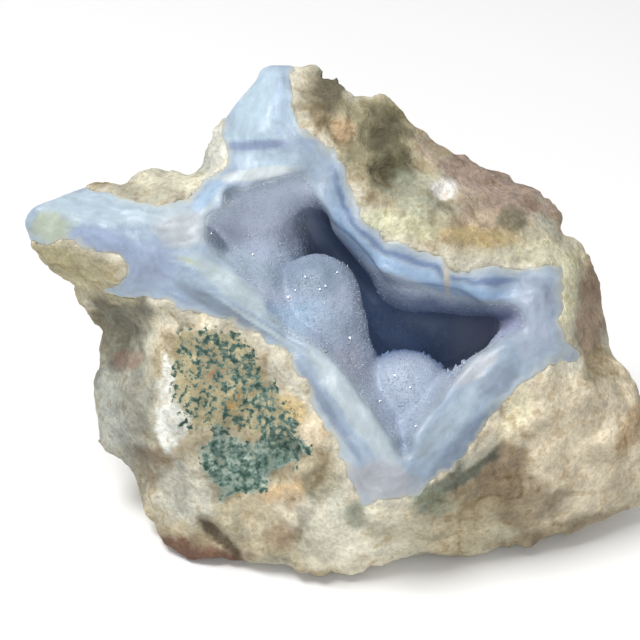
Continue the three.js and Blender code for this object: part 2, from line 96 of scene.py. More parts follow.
# Known heights w of the broken face.
FACE_HEIGHTS = [
    (-59.2, 19.6, -3), (-49, 26, -5), (-38.4, 26.8, -6), (-32, 29.4, -8), (-24.8, 29.4, -7),
    (-21.5, 37, -8), (-14, 47, -8), (-8, 51.2, -8), (0, 49, -10), (12.6, 44.8, -13), (23.2, 35.6, -14),
    (36, 29.2, -15), (46, 24.2, -14), (50, 17, -12), (56, 3, -16), (57.4, -5, -14), (64, -15, -10),
    (67.5, -27, -16), (64, -38, -19), (52, -44, -16), (38, -47, -13), (26, -48.4, -11), (14, -50, -9),
    (4.6, -53, -6.5), (-11.6, -51, -9), (-25, -48.8, -11), (-32, -45, -14), (-36.8, -32, -15),
    (-44.4, -25.4, -16), (-45.8, -15, -15), (-44.2, -2, -18), (-49.5, 6, -12), (-55.6, 12.4, -6),
    (-44, 20, 2), (-34, 19, 3), (-50, 12, -2), (-41, 9.5, 0), (-44, 3, -9), (-38, -2, -10), (-40, -8, -12),
    (-38, -17, -7), (-40, -22, -10), (-31, -8, -1), (-31, -18, 0), (-28, -24, 0), (-22, -8, 2),
    (-14, -12, 3), (-10, -20, 2), (-16, -27, -2), (-22, -38, -5), (-6, -38, 0), (-14, -44, -5),
    (22, -40, 2), (8, -44, 0), (-26, 20, 3.5), (-30, 15, 4.5), (-23, 8, 5), (-27, 3, 4), (-14, -3.5, 5),
    (-6, -9, 6), (1, -20, 7.5), (7, -30, 8.5), (14, -34, 8), (24, -27, 6.5), (36, -16, 6.5), (43, -10, 5),
    (48.5, -2, 2), (48.5, 8, 1), (38, 6, 1), (24, 10, 2), (12, 14, 2), (6, 24, 0.5), (1, 32, 0),
    (-10, 29.5, 1), (-20, 26, 2), (48, -26, 0), (56, -16, 0), (60, -26, -6), (40, -38, -4), (50, -36, -7),
    (53, 0, -8), (16, 22, 0.5), (26, 17, 1), (44, 14, 0), (25, 26, -4), (36, 20, -3), (13, 34, -5),
    (2, 43, -4), (-10, 44, -2), (-12, 38, 0), (-8, 34, 1.5), (-32, 26.5, -2),
]

# Known heights w of the hollow's floor inside its mouth.
FLOOR_HEIGHTS = [
    (-19, 25, -1), (-12, 26, -2), (-4, 27, -2), (-21, 20, 0), (-14, 21, -5.5), (-6, 21, -8), (-1, 21, -11),
    (-16, 16, -4.5), (-8, 15.5, -8), (-2, 15, -13), (-19, 13, 1), (-14, 11, -0.5), (-9, 9, -1),
    (-8, 2, 2.5), (4, 12, -12), (10, 4, -13), (10.6, -8, -5), (11, -14, -1), (14, -7, -8), (15.4, -21, 0),
    (17, -25, 2.5), (22, -16, 0.5), (26, -8, -9), (24, -2, -16), (32, -5, -3), (37, -1, -3),
]

# Flat breaks of the back: a point on each, and the way it faces.
BREAKS = [
    ((0, 0, -50), (0, 0, -1)), ((0, 10, -50), (0, 0.7, -1)), ((-15, 0, -50), (-0.8, 0, -1)),
    ((30, 0, -50), (0.54, 0, -1)), ((-24.8, 29.4, -22), (-0.42, 0.56, -1)),
    ((36, 29.2, -30), (0.36, 0.48, -1)), ((64, -38, -34), (0.35, -0.35, -1)),
    ((-44.4, -25.4, -30), (-0.7, -0.21, -1)),
]

# Breaks of the underside: where each leaves the ground, its bearing, and how steeply it rises, in degrees.
UNDERSIDE = [
    ((0, 0), 0, 0), ((30, 0), 0, 5), ((0, -20), -90, 3), ((-26, 0), 185, 6), ((24, -16), -40, 3),
    ((22, 15), 50, 18), ((-20, 16), 125, 24),
]

# Deep chambers and pits: ellipsoids by centre, semi-axes, and turn about w in degrees.
CHAMBERS = [((21.5, -1, -12), (14.4, 10, 17), -4), ((6, 10.5, -12), (14, 5.5, 14), -52)]
PITS = [
    ((12, 37, -3), (5, 4, 4.5), -50), ((13.5, 31, -2), (4.4, 3.4, 4), -60),
    ((25, 26, -2), (1.9, 1.9, 3), 0), ((-20.5, -43, -5.5), (4.2, 1.1, 2.6), -38),
    ((-12, -29.5, 1.5), (11, 3.4, 2.6), 27),
]

# Rounded lumps that grow into the hollow: a ball swept between two points, and its radius.
LUMPS = [
    ((-0.5, 4.5, -7), (2, -8, -7.5), 8.8), ((17, -15, -10), (20, -19, -10.5), 9.5),
    ((18, 8.6, -7), (36, 7.4, -7), 7), ((7, 20, -5), (15, 10, -6), 5),
]

# Where the key light stands, in metres.
KEY_LIGHT = (-0.28, -0.05, 0.85)

# The mineral patches of the front: a white vein, ochre ground with green grains, and a green crust.
WHITE_VEIN = [
    (-32.1, -6.6), (-30.1, -5.9), (-29.4, -10.6), (-29.8, -15.9), (-27.4, -18.5), (-26.8, -21.9),
    (-28.1, -25.2), (-30.8, -27.2), (-32.1, -23.8), (-33.4, -18.5), (-32.1, -13.2),
]
OCHRE_GROUND = [
    (-29.4, -2), (-27.4, -1), (-18.2, -3.2), (-14.8, -4.6), (-11.6, -10.6), (-8.2, -14.6), (-4.8, -18.6),
    (-4, -21.8), (-8.2, -25.2), (-11.6, -23.4), (-16.8, -22.2), (-19.8, -20.6), (-23.4, -21.2),
    (-26.8, -20.6), (-29.4, -15.8), (-29.4, -8.6),
]
GREEN_CRUST = [
    (-24.2, -30.4), (-19.8, -36), (-11.6, -33), (-2, -26.2), (-2.2, -23.2), (-5.6, -23.4), (-8.2, -25.4),
    (-11.6, -23.8), (-16.6, -22.8), (-20.4, -21.8), (-23.4, -25.2),
]

# Where the druse flashes.
FLASHES = [
    (-13.4, 13.2), (1.4, 7), (0.2, 6.2), (-6.4, 4.6), (-21.6, 17.4), (-3, 8.8), (18.2, -13.2), (12, -16),
    (12, -22), (19.2, -21), (-5.2, 6), (3.4, 9.6), (-9, 19), (-14, 17), (8.6, -9), (6, -3.4), (14.6, -11),
]


class Slot(Enum):
    """The material slots of the three pieces."""

    ROCK = "host_rock"
    AGATE = "agate"
    DRUSE = "druse"


@dataclass(frozen=True)
class FaceFrame:
    """The frame on the broken face, in mm: how far the eye is, how the face tilts, and where it stands."""

    eye: float = 302
    tilt: float = math.radians(55)
    height: float = 48.5
    setback: float = -6

    def narrowing(self, w: Array) -> Array:
        """How much nearer to the axis a point at height w lies than the eye sees it in the plane w = 0."""
        return 1 - w / self.eye

    def direction(self, way: Array) -> Array:
        """Turns face directions into world directions, by the tilt about X.

        Args:
            way: directions along u, v and w.

        Returns:
            The same directions along X, Y and Z.
        """
        u, v, w = way[..., 0], way[..., 1], way[..., 2]
        cos, sin = math.cos(self.tilt), math.sin(self.tilt)
        return np.stack([u, v * cos - w * sin, v * sin + w * cos], -1)

    def world(self, seen: Array) -> Array:
        """Turns seen points (u, v, w) in mm into world points in metres.

        Args:
            seen: points whose u and v are where the eye sees them in the plane w = 0.

        Returns:
            World points: u and v narrowed by their height, turned by the tilt, and moved to the face's place.
        """
        near = self.narrowing(seen[..., 2])
        true = np.stack([seen[..., 0] * near, seen[..., 1] * near, seen[..., 2]], -1)
        return (self.direction(true) + np.array([0, self.setback, self.height])) / 1000

    def from_world(self, points: Array) -> Array:
        """Turns world vectors back into the face frame.

        Args:
            points: vectors along X, Y and Z in mm, measured from the face's place.

        Returns:
            The same vectors along u, v and w.
        """
        x, y, z = points[..., 0], points[..., 1], points[..., 2]
        cos, sin = math.cos(self.tilt), math.sin(self.tilt)
        return np.stack([x, y * cos + z * sin, -y * sin + z * cos], -1)


FACE = FaceFrame()


@dataclass(frozen=True)
class Grid:
    """A regular grid of seen points: its lowest corner, its highest corner, and its step, in mm."""

    low: tuple[float, float, float]
    high: tuple[float, float, float]
    step: float

    def axis(self, k: int) -> Array:
        """Coordinates along one axis."""
        return np.arange(self.low[k], self.high[k], self.step, dtype=np.float32)

    def flat(self) -> tuple[Array, Array]:
        """The u and v of every column, as two arrays over the plane."""
        return np.meshgrid(self.axis(0), self.axis(1), indexing="ij")

    def heights(self) -> Array:
        """The w of every layer, shaped to spread over the columns."""
        return self.axis(2)[None, None, :]

    def solid(self) -> tuple[Array, Array, Array]:
        """True u, v and w of every point, each narrowed by its height."""
        near = FACE.narrowing(self.heights())
        return self.axis(0)[:, None, None] * near, self.axis(1)[None, :, None] * near, self.heights()


class Noise:
    """Smooth seeded noise from -1 to 1: random values on a cubic lattice, eased between its points."""

    size = 64

    def __init__(self, spacing: float, seed: int) -> None:
        """Keeps the lattice spacing in mm, and draws the lattice."""
        self.spacing = spacing
        self.lattice = np.random.default_rng(seed).uniform(-1, 1, (self.size,) * 3).astype(np.float32)

    def split(self, coordinate: Array) -> tuple[Array, Array, Array]:
        """Finds the lattice cells on both sides of a coordinate.

        Args:
            coordinate: places along one axis, in mm.

        Returns:
            The cell before, the cell after, and the eased share of the way between them.
        """
        place = coordinate / self.spacing + self.size
        cell = np.floor(place).astype(int)
        share = (place - cell).astype(np.float32)
        return cell % self.size, (cell + 1) % self.size, share * share * (3 - 2 * share)

    def on(self, grid: Grid) -> Array:
        """Works out the noise on a whole grid, eased along one axis after another.

        Args:
            grid: where to work it out.

        Returns:
            Values from -1 to 1, one a grid point.
        """
        values = self.lattice
        for k in range(3):
            before, after, share = self.split(grid.axis(k))
            shape = [1, 1, 1]
            shape[k] = -1
            first = np.take(values, before, axis=k)
            values = first + (np.take(values, after, axis=k) - first) * share.reshape(shape)
        return values

    def at(self, points: Array) -> Array:
        """Works out the noise at scattered points: the weighted mean of the eight lattice corners round each.

        Args:
            points: places in mm.

        Returns:
            Values from -1 to 1, one a point.
        """
        cells = [self.split(points[:, k]) for k in range(3)]
        total = np.zeros(len(points), np.float32)
        for corner in np.ndindex(2, 2, 2):
            weight = np.ones(len(points), np.float32)
            for k, far in enumerate(corner):
                weight = weight * (cells[k][2] if far else 1 - cells[k][2])
            total += weight * self.lattice[tuple(cells[k][far] for k, far in enumerate(corner))]
        return total


@dataclass(frozen=True)
class Layer:
    """One layer of noise: the size of its forms in mm, its seed, and its strength."""

    size: float
    seed: int
    strength: float

    def on(self, grid: Grid) -> Array:
        """The layer on a whole grid."""
        return self.strength * Noise(self.size, self.seed).on(grid)

    def at(self, points: Array) -> Array:
        """The layer at scattered points."""
        return self.strength * Noise(self.size, self.seed).at(points)


def smooth_max(a: Array, b: Array, blend: float) -> Array:
    """The larger of two fields, rounded where they meet: half of their sum and softened difference."""
    return 0.5 * (a + b + np.sqrt((a - b) ** 2 + blend * blend))


def smooth_min(a: Array, b: Array, blend: float) -> Array:
    """The smaller of two fields, rounded where they are about equal."""
    return -smooth_max(-a, -b, blend)


def ramp(value: Array, start: float, end: float) -> Array:
    """An eased step from 0 at start to 1 at end."""
    share = np.clip((value - start) / (end - start), 0, 1)
    return share * share * (3 - 2 * share)


def flowing(outline: Outline, parts: int) -> list[tuple[float, float]]:
    """Eases the corners of a closed outline: a smooth cubic curve through its points.

    Args:
        outline: the points.
        parts: how many parts each side is cut into.

    Returns:
        The curve's points.
    """
    here = np.array(outline, float)
    before, after, beyond = np.roll(here, 1, 0), np.roll(here, -1, 0), np.roll(here, -2, 0)
    slope = after - before
    bend = 2 * before - 5 * here + 4 * after - beyond
    twist = 3 * here - before - 3 * after + beyond
    shares = np.arange(parts) / parts
    curve = [here + 0.5 * (slope * t + bend * t ** 2 + twist * t ** 3) for t in shares]
    return [tuple(point) for point in np.stack(curve, 1).reshape(-1, 2)]


STONE_CURVE = flowing(OUTLINE, 2)
AGATE_CURVE = flowing(AGATE_EDGE, 2)
MOUTH_CURVE = flowing(MOUTH, 3)


def outline_distance(outline: Outline, u: Array, v: Array) -> Array:
    """Signed distance to a closed outline, less than 0 inside.

    The nearest point on each edge gives the distance. The count of edges crossed to the right gives the side.

    Args:
        outline: the outline's points.
        u: places to the right.
        v: places upwards.

    Returns:
        Distances in mm, one a place.
    """
    nearest = np.full(u.shape, np.inf, np.float32)
    inside = np.zeros(u.shape, bool)
    for (a, b), (c, d) in zip(outline, outline[1:] + outline[:1]):
        eu, ev = c - a, d - b
        along = np.clip(((u - a) * eu + (v - b) * ev) / (eu * eu + ev * ev), 0, 1)
        nearest = np.minimum(nearest, np.hypot(u - a - along * eu, v - b - along * ev))
        if b != d:
            inside ^= ((b > v) != (d > v)) & (u < eu * (v - b) / ev + a)
    return np.where(inside, -nearest, nearest)


def outline_share(outline: Outline, centre: tuple[float, float], u: Array, v: Array) -> Array:
    """How far out a place lies on the ray from the centre to the outline.

    Args:
        outline: the outline's points.
        centre: where the rays start.
        u: places to the right.
        v: places upwards.

    Returns:
        Shares, from 0 at the centre to 1 on the outline.
    """
    slack, least = 1e-4, 1e-9
    pu, pv = u - centre[0], v - centre[1]
    share = np.zeros(u.shape, np.float32)
    for (a, b), (c, d) in zip(outline, outline[1:] + outline[:1]):
        au, av, eu, ev = a - centre[0], b - centre[1], c - a, d - b
        cross = au * ev - av * eu
        out = (pu * ev - pv * eu) / cross
        along = (au * pv - av * pu) / np.where(np.abs(out * cross) < least, least, out * cross)
        meets = (out > 0) & (along >= -slack) & (along <= 1 + slack)
        share = np.where(meets, np.maximum(share, out), share)
    return share


class Surface:
    """A surface through known heights: a sum of blunt cones, one at each known place, plus a plane."""

    def __init__(self, known: Sequence[tuple[float, float, float]], bluntness: float) -> None:
        """Solves for the cones' weights."""
        self.places = np.array([k[:2] for k in known], float)
        self.bluntness = bluntness
        count = len(known)
        matrix = np.zeros((count + 3, count + 3))
        matrix[:count, :count] = self.cones(self.places[:, 0], self.places[:, 1])
        matrix[:count, count] = matrix[count, :count] = 1
        matrix[:count, count + 1:] = self.places
        matrix[count + 1:, :count] = self.places.T
        self.weights = np.linalg.solve(matrix, np.array([k[2] for k in known] + [0, 0, 0], float))

    def cones(self, u: Array, v: Array) -> Array:
        """The height of each blunt cone over each point."""
        far = (u[:, None] - self.places[None, :, 0]) ** 2 + (v[:, None] - self.places[None, :, 1]) ** 2
        return np.sqrt(far + self.bluntness ** 2)

    def height(self, u: Array, v: Array) -> Array:
        """Works out the surface's height: its plane, and each cone by its weight.

        Args:
            u: places to the right.
            v: places upwards.

        Returns:
            Heights in mm, one a place.
        """
        flat_u, flat_v = u.ravel().astype(float), v.ravel().astype(float)
        count = len(self.places)
        plane = self.weights[count] + self.weights[count + 1] * flat_u + self.weights[count + 2] * flat_v
        return (self.cones(flat_u, flat_v) @ self.weights[:count] + plane).reshape(u.shape).astype(np.float32)


@dataclass(frozen=True)
class StoneShape:
    """The stone as fields over a grid, less than 0 inside. Sizes in mm."""

    lining: float = 8
    arm_lining: float = 9
    crust: float = 1.2
    side: float = 7
    back_depth: float = 48
    knob_height: float = 0.6
    knob_spacing: float = 13
    rim_step: float = 1
    floor_sink: float = 1.7
    edge_round: float = 1.6
    edge_grow: float = 0.7
    mouth_round: float = 2.4
    overlap: float = 0.6
    sunk: float = 0.12
    under_crust: float = 0.5
    crust_dive: float = 0.25
    swells: tuple[Layer, ...] = (Layer(13, 1, 0.8), Layer(6, 2, 0.5))
    chips: Layer = Layer(2.3, 4, 0.7)
    lump_noise: Noise = Noise(4.2, 3)
    lump_depth: float = 1.3
    relief_lift: float = 0.15
    ragged_edge: tuple[Layer, ...] = (Layer(3.4, 5, 0.9), Layer(1.3, 6, 0.45))

    @lru_cache(maxsize=None)
    def broad_face(self) -> Surface:
        """The broken face without its knobs."""
        return Surface(FACE_HEIGHTS, 1)

    @lru_cache(maxsize=None)
    def broad_floor(self) -> Surface:
        """The hollow's floor, joined to the face one step below the mouth."""
        mouth = np.array(MOUTH, float)
        rim = self.face(mouth[:, 0], mouth[:, 1]) - self.rim_step
        return Surface([(u, v, w) for (u, v), w in zip(MOUTH, rim)] + FLOOR_HEIGHTS, 2)

    def face(self, u: Array, v: Array) -> Array:
        """The height of the broken face: the known heights and a product of two slanted sine waves.

        Args:
            u: places to the right.
            v: places upwards.

        Returns:
            Heights in mm, one a place.
        """
        turn = 2 * math.pi / self.knob_spacing
        knobs = np.sin((u + 0.4 * v) * turn) * np.sin((v - 0.3 * u) * turn)
        return self.broad_face().height(u, v) + self.knob_height * knobs

    def ellipsoid(self, grid: Grid, spec: tuple, extra: float) -> Array:
        """A field like the distance to an ellipsoid: its scaled radius less 1, times its least semi-axis.

        Args:
            grid: where to work it out.
            spec: the centre, the semi-axes, and the turn about w in degrees.
            extra: how much the semi-axes are grown.

        Returns:
            The field, less than 0 inside.
        """
        (cu, cv, cw), half, turn = spec
        u, v, w = grid.solid()
        near = FACE.narrowing(cw)
        cos, sin = math.cos(math.radians(turn)), math.sin(math.radians(turn))
        du, dv, dw = u - cu * near, v - cv * near, w - cw
        a, b, c = (size + extra for size in half)
        scaled = np.sqrt(((du * cos + dv * sin) / a) ** 2 + ((dv * cos - du * sin) / b) ** 2 + (dw / c) ** 2)
        return (scaled - 1) * min(a, b, c)

    def swept_ball(self, grid: Grid, spec: tuple, radius: float) -> Array:
        """Distance to a ball swept along a line: the distance to the line less the radius.

        Args:
            grid: where to work it out.
            spec: the line's two ends, as seen.
            radius: the ball's radius.

        Returns:
            The field, less than 0 inside.
        """
        near = [FACE.narrowing(w) for _, _, w in spec[:2]]
        start, end = (np.array([u * n, v * n, w]) for (u, v, w), n in zip(spec, near))
        u, v, w = grid.solid()
        way = end - start
        du, dv, dw = u - start[0], v - start[1], w - start[2]
        along = np.clip((du * way[0] + dv * way[1] + dw * way[2]) / (way @ way), 0, 1)
        away = (du - along * way[0]) ** 2 + (dv - along * way[1]) ** 2
        return np.sqrt(away + (dw - along * way[2]) ** 2) - radius

    def half_space(self, grid: Grid, at: Array, faces: Array) -> Array:
        """Distance in front of a flat break.

        Args:
            grid: where to work it out.
            at: a point on the break.
            faces: the way that it faces, out of the stone.

        Returns:
            The field, less than 0 behind the break.
        """
        normal = np.array(faces, float) / np.linalg.norm(faces)
        u, v, w = grid.solid()
        return (u - at[0]) * normal[0] + (v - at[1]) * normal[1] + (w - at[2]) * normal[2]

    def under_breaks(self) -> list[tuple[Array, Array]]:
        """The underside's breaks in the face frame, from their bearings and slopes over the ground.

        Returns:
            A point on each break, and the way that it faces.
        """
        found = []
        for (x, y), bearing, rise in UNDERSIDE:
            out, down = math.sin(math.radians(rise)), math.cos(math.radians(rise))
            turn = math.radians(bearing)
            at = FACE.from_world(np.array([x, y - FACE.setback, -FACE.height]))
            found.append((at, FACE.from_world(np.array([out * math.cos(turn), out * math.sin(turn), -down]))))
        return found

    def relief(self, grid: Grid, edge: Array) -> Array:
        """Relief of the broken stone: broad swells, rounded lumps with creases, and chips, weaker on agate.

        Args:
            grid: where to work it out.
            edge: signed distance to the agate's edge over the plane.

        Returns:
            The relief in mm. A crease runs wherever the noise of the lumps is 0.
        """
        rocky = (0.2 + 0.8 * ramp(edge, -0.8, 1.2))[:, :, None]
        swells = sum(layer.on(grid) for layer in self.swells)
        creases = self.lump_depth * np.abs(self.lump_noise.on(grid))
        return rocky * (swells - creases + np.abs(self.chips.on(grid)) + self.relief_lift)

    def body(self, grid: Grid, stone: Array) -> Array:
        """The stone less its hollow, with the mouth rounded over."""
        return smooth_max(stone, -self.hollow(grid, 0), self.mouth_round)

    def stone(self, grid: Grid, edge: Array) -> Array:
        """The whole broken stone: within the outline, under the face, before the back, inside every break.

        Args:
            grid: where to work it out.
            edge: signed distance to the agate's edge over the plane, which tells rock from agate.

        Returns:
            The field, with the rough relief added and the pits cut out.
        """
        u, v = grid.flat()
        w = grid.heights()
        share = outline_share(OUTLINE, OUTLINE_CENTRE, u, v)
        rings = np.array([0, 0.6, 0.86, 1])
        ring_depth = self.side + self.back_depth * np.sqrt(1 - rings ** 2)
        dome = np.interp(share, rings, ring_depth).astype(np.float32)
        face = self.face(u, v)
        outline = outline_distance(STONE_CURVE, u, v) - self.edge_grow
        field = smooth_max(w - face[:, :, None], outline[:, :, None], self.edge_round)
        field = smooth_max(field, 0.8 * ((face * share ** 2 - dome)[:, :, None] - w), self.edge_round)
        for at, faces in BREAKS + self.under_breaks()[1:]:
            field = smooth_max(field, self.half_space(grid, at, faces), self.edge_round)
        field = field + self.relief(grid, edge)
        for pit in PITS:
            field = smooth_max(field, -self.ellipsoid(grid, pit, 0.2), 0.9)
        return np.maximum(field, self.half_space(grid, *self.under_breaks()[0]))

    def hollow(self, grid: Grid, back: float) -> Array:
        """The hollow's free space: the mouth's prism over the floor, and the chambers, less the lumps.

        Args:
            grid: where to work it out.
            back: how far the walls are moved back.

        Returns:
            The field, less than 0 in the space.
        """
        u, v = grid.flat()
        mouth = outline_distance(MOUTH_CURVE, u, v) - back
        floor = self.broad_floor().height(u, v) - back * self.floor_sink
        field = smooth_max(mouth[:, :, None], 0.75 * (floor[:, :, None] - grid.heights()), 2.2)
        for chamber in CHAMBERS:
            field = smooth_min(field, self.ellipsoid(grid, chamber, back), 2.0)
        for lump in LUMPS:
            if lump[2] > back + 1:
                field = smooth_max(field, -self.swept_ball(grid, lump, lump[2] - back), 0.9)
        return field

    def agate_space(self, grid: Grid, edge: Array, extra: float) -> Array:
        """The agate: a skin under the broken face and a wall round the hollow, inside the agate's edge.

        Args:
            grid: where to work it out.
            edge: signed distance to the agate's edge over the plane.
            extra: how much it is grown.

        Returns:
            The field, less than 0 in the agate.
        """
        u, v = grid.flat()
        skin = (self.face(u, v) - self.arm_lining - extra)[:, :, None] - grid.heights()
        wall = self.hollow(grid, self.crust + self.lining + extra)
        return np.maximum(np.minimum(skin, wall), (edge - extra)[:, :, None])

    def agate_edge(self, u: Array, v: Array) -> Array:
        """Signed distance to the agate's edge, made ragged by two layers of noise.

        Args:
            u: places to the right.
            v: places upwards.

        Returns:
            Distances in mm, less than 0 on the agate.
        """
        flat = np.stack([u.ravel(), v.ravel(), np.zeros(u.size)], -1)
        ragged = sum(layer.at(flat) for layer in self.ragged_edge)
        return outline_distance(AGATE_CURVE, u, v) + ragged.reshape(u.shape)


CORNERS = np.array(list(np.ndindex(2, 2, 2)))
CELL_EDGES = [(a, b) for a in range(8) for b in range(a + 1, 8) if np.abs(CORNERS[a] - CORNERS[b]).sum() == 1]


def skin_of(field: Array, grid: Grid) -> tuple[Array, Array]:
    """The skin where a field changes sign, as vertices and four-sided faces.

    Each cell that the skin passes through gets one vertex, the mean of the places where the field is 0 on the
    cell's edges. Each grid edge that the skin crosses gets one face, between the four cells round it.

    Args:
        field: values on the grid, less than 0 inside.
        grid: the grid.

    Returns:
        Seen points in mm, and vertex numbers of the faces, which point outwards.
    """
    inside = field < 0
    n = np.array(field.shape) - 1
    corner = [inside[i:i + n[0], j:j + n[1], k:k + n[2]] for i, j, k in CORNERS]
    count = np.sum(corner, axis=0, dtype=np.int8)
    cells = np.argwhere((count > 0) & (count < 8))
    number = np.full(n, -1, np.int32)
    number[tuple(cells.T)] = np.arange(len(cells))
    values = np.stack([field[tuple((cells + c).T)] for c in CORNERS], 1)
    place = np.zeros((len(cells), 3))
    crossings = np.zeros(len(cells))
    for a, b in CELL_EDGES:
        crossed = (values[:, a] < 0) != (values[:, b] < 0)
        span = np.where(crossed, values[:, a] - values[:, b], 1)
        share = np.where(crossed, values[:, a] / span, 0)[:, None]
        place += np.where(crossed[:, None], CORNERS[a] + share * (CORNERS[b] - CORNERS[a]), 0)
        crossings += crossed
    points = np.array(grid.low) + grid.step * (cells + place / crossings[:, None])
    faces = []
    for k in range(3):
        step = np.eye(3, dtype=int)[k]
        here = inside[:inside.shape[0] - step[0], :inside.shape[1] - step[1], :inside.shape[2] - step[2]]
        there = inside[step[0]:, step[1]:, step[2]:]
        edges = np.argwhere(here != there)
        side, up = (np.eye(3, dtype=int)[(k + 1) % 3], np.eye(3, dtype=int)[(k + 2) % 3])
        edges = edges[(edges[:, (k + 1) % 3] > 0) & (edges[:, (k + 2) % 3] > 0)]
        edges = edges[(edges[:, (k + 1) % 3] < n[(k + 1) % 3]) & (edges[:, (k + 2) % 3] < n[(k + 2) % 3])]
        ring = [number[tuple((edges - d).T)] for d in (side + up, up, 0 * side, side)]
        quads = np.stack(ring, 1)
        outwards = inside[tuple(edges.T)]
        quads[~outwards] = quads[~outwards][:, ::-1]
        faces.append(quads)
    return points, np.concatenate(faces)


def main_body(points: Array, faces: Array) -> tuple[Array, Array]:
    """Keeps the largest joined body of a mesh.

    Every vertex takes the lowest label among its faces' vertices, again and again, until nothing changes.

    Args:
        points: the mesh's points.
        faces: their numbers, a row a face.

    Returns:
        The points and faces of the largest body.
    """
    label = np.arange(len(points))
    while True:
        lowest = label[faces].min(axis=1)
        new = label.copy()
        for k in range(faces.shape[1]):
            np.minimum.at(new, faces[:, k], lowest)
        new = new[new]
        if (new == label).all():
            break
        label = new
    names, counts = np.unique(label, return_counts=True)
    kept = label == names[counts.argmax()]
    renumber = np.cumsum(kept) - 1
    return points[kept], renumber[faces[kept[faces[:, 0]]]]


def normals_of(points: Array, faces: Array) -> Array:
    """Unit normals at the vertices: the sum of the cross products of their faces' diagonals.

    Args:
        points: the mesh's points.
        faces: their numbers, four a face.

    Returns:
        Outward normals, one a point.
    """
    cross = np.cross(points[faces[:, 2]] - points[faces[:, 0]], points[faces[:, 3]] - points[faces[:, 1]])
    total = np.zeros(points.shape)
    for k in range(3):
        total[:, k] = sum(np.bincount(corner, cross[:, k], len(points)) for corner in faces.T)
    return total / np.maximum(np.linalg.norm(total, axis=1), 1e-12)[:, None]


def mesh_object(name: str, points: Array, faces: Array, smooth: bool) -> bpy.types.Object:
    """Makes an object at the origin.

    Args:
        name: the object's name.
        points: world points in metres.
        faces: their numbers, a row a face.
        smooth: whether its faces are shaded as one smooth surface.

    Returns:
        The object, linked to the scene.
    """
    mesh = bpy.data.meshes.new(name)
    mesh.vertices.add(len(points))
    mesh.vertices.foreach_set("co", points.astype(np.float32).ravel())
    mesh.loops.add(faces.size)
    mesh.loops.foreach_set("vertex_index", faces.astype(np.int32).ravel())
    mesh.polygons.add(len(faces))
    mesh.polygons.foreach_set("loop_start", np.arange(len(faces), dtype=np.int32) * faces.shape[1])
    mesh.update(calc_edges=True)
    mesh.validate()
    mesh.polygons.foreach_set("use_smooth", np.full(len(mesh.polygons), smooth))
    thing = bpy.data.objects.new(name, mesh)
    bpy.context.scene.collection.objects.link(thing)
    return thing


def linear(code: str) -> Array:
    """Turns an sRGB hex colour into linear light."""
    srgb = np.array([int(code[i:i + 2], 16) for i in (1, 3, 5)]) / 255
    return np.where(srgb <= 0.04045, srgb / 12.92, ((srgb + 0.055) / 1.055) ** 2.4)


def rgba(code: str) -> Colour:
    """A hex colour as linear red, green, blue and full alpha."""
    return (*(float(part) for part in linear(code)), 1.0)


@dataclass(frozen=True)
class Stain:
    """A ragged patch of colour on the face: its middle, half sizes, turn in degrees, colour and strength."""

    at: tuple[float, float]
    half: tuple[float, float]
    turn: float
    colour: str
    strength: float = 0.8
    ragged: float = 0.5
    soft: float = 0.6

    def weight(self, seen: Array, noise: Array) -> Array:
        """How much of the stain each point takes: all inside a noisy ellipse, easing to none outside it.

        Args:
            seen: seen points in mm.
            noise: noise at each, which makes the ellipse ragged.

        Returns:
            Shares from 0 to the stain's strength.
        """
        cos, sin = math.cos(math.radians(self.turn)), math.sin(math.radians(self.turn))
        u, v = seen[:, 0] - self.at[0], seen[:, 1] - self.at[1]
        out = np.hypot((u * cos + v * sin) / self.half[0], (v * cos - u * sin) / self.half[1])
        return self.strength * ramp(out + self.ragged * noise, 1 + self.soft / 2, 1 - self.soft / 2)


@dataclass(frozen=True)
class Patch:
    """A patch of colour inside an outline: its colour, strength, and how far its edge wanders in mm."""

    outline: Outline
    colour: str
    strength: float = 0.9
    ragged: float = 1.6
    soft: float = 0.8

    def weight(self, seen: Array, noise: Array) -> Array:
        """How much of the patch each point takes: all inside the outline, which wanders with the noise."""
        edge = outline_distance(self.outline, seen[:, 0], seen[:, 1]) + self.ragged * noise
        return self.strength * ramp(edge, self.soft / 2, -self.soft / 2)


def mix(colours: Array, code: str, weight: Array) -> Array:
    """Mixes a hex colour into an array of linear colours."""
    return colours + (linear(code) - colours) * weight[:, None]


def paint(colours: Array, seen: Array, stains: Sequence[Stain | Patch], noise: Array) -> Array:
    """Lays stains over colours, one after another.

    Args:
        colours: linear colours, one a point.
        seen: seen points in mm.
        stains: the stains, the lowest first.
        noise: noise at each point.

    Returns:
        The stained colours.
    """
    for stain in stains:
        colours = mix(colours, stain.colour, stain.weight(seen, noise))
    return colours


def store_colour(thing: bpy.types.Object, colours: Array) -> None:
    """Stores linear colours in the vertex attribute stain."""
    full = np.column_stack([colours, np.ones(len(colours))]).astype(np.float32)
    thing.data.attributes.new("stain", "FLOAT_COLOR", "POINT").data.foreach_set("color", full.ravel())


def store_value(thing: bpy.types.Object, name: str, values: Array) -> None:
    """Stores one number a vertex under a name."""
    thing.data.attributes.new(name, "FLOAT", "POINT").data.foreach_set("value", values.astype(np.float32))


def add_node(tree: bpy.types.NodeTree, kind: str, inputs: dict | None = None, **settings) -> bpy.types.Node:
    """Adds a node, sets its properties, and sets or links its inputs.

    Args:
        tree: the material's node tree.
        kind: the node's type name, without the leading ShaderNode.
        inputs: values or output sockets by input name or number.
        settings: properties of the node.

    Returns:
        The new node.
    """
    made = tree.nodes.new("ShaderNode" + kind)
    for name, value in settings.items():
        setattr(made, name, value)
    for name, value in (inputs or {}).items():
        if isinstance(value, bpy.types.NodeSocket):
            tree.links.new(value, made.inputs[name])
        else:
            made.inputs[name].default_value = value
    return made


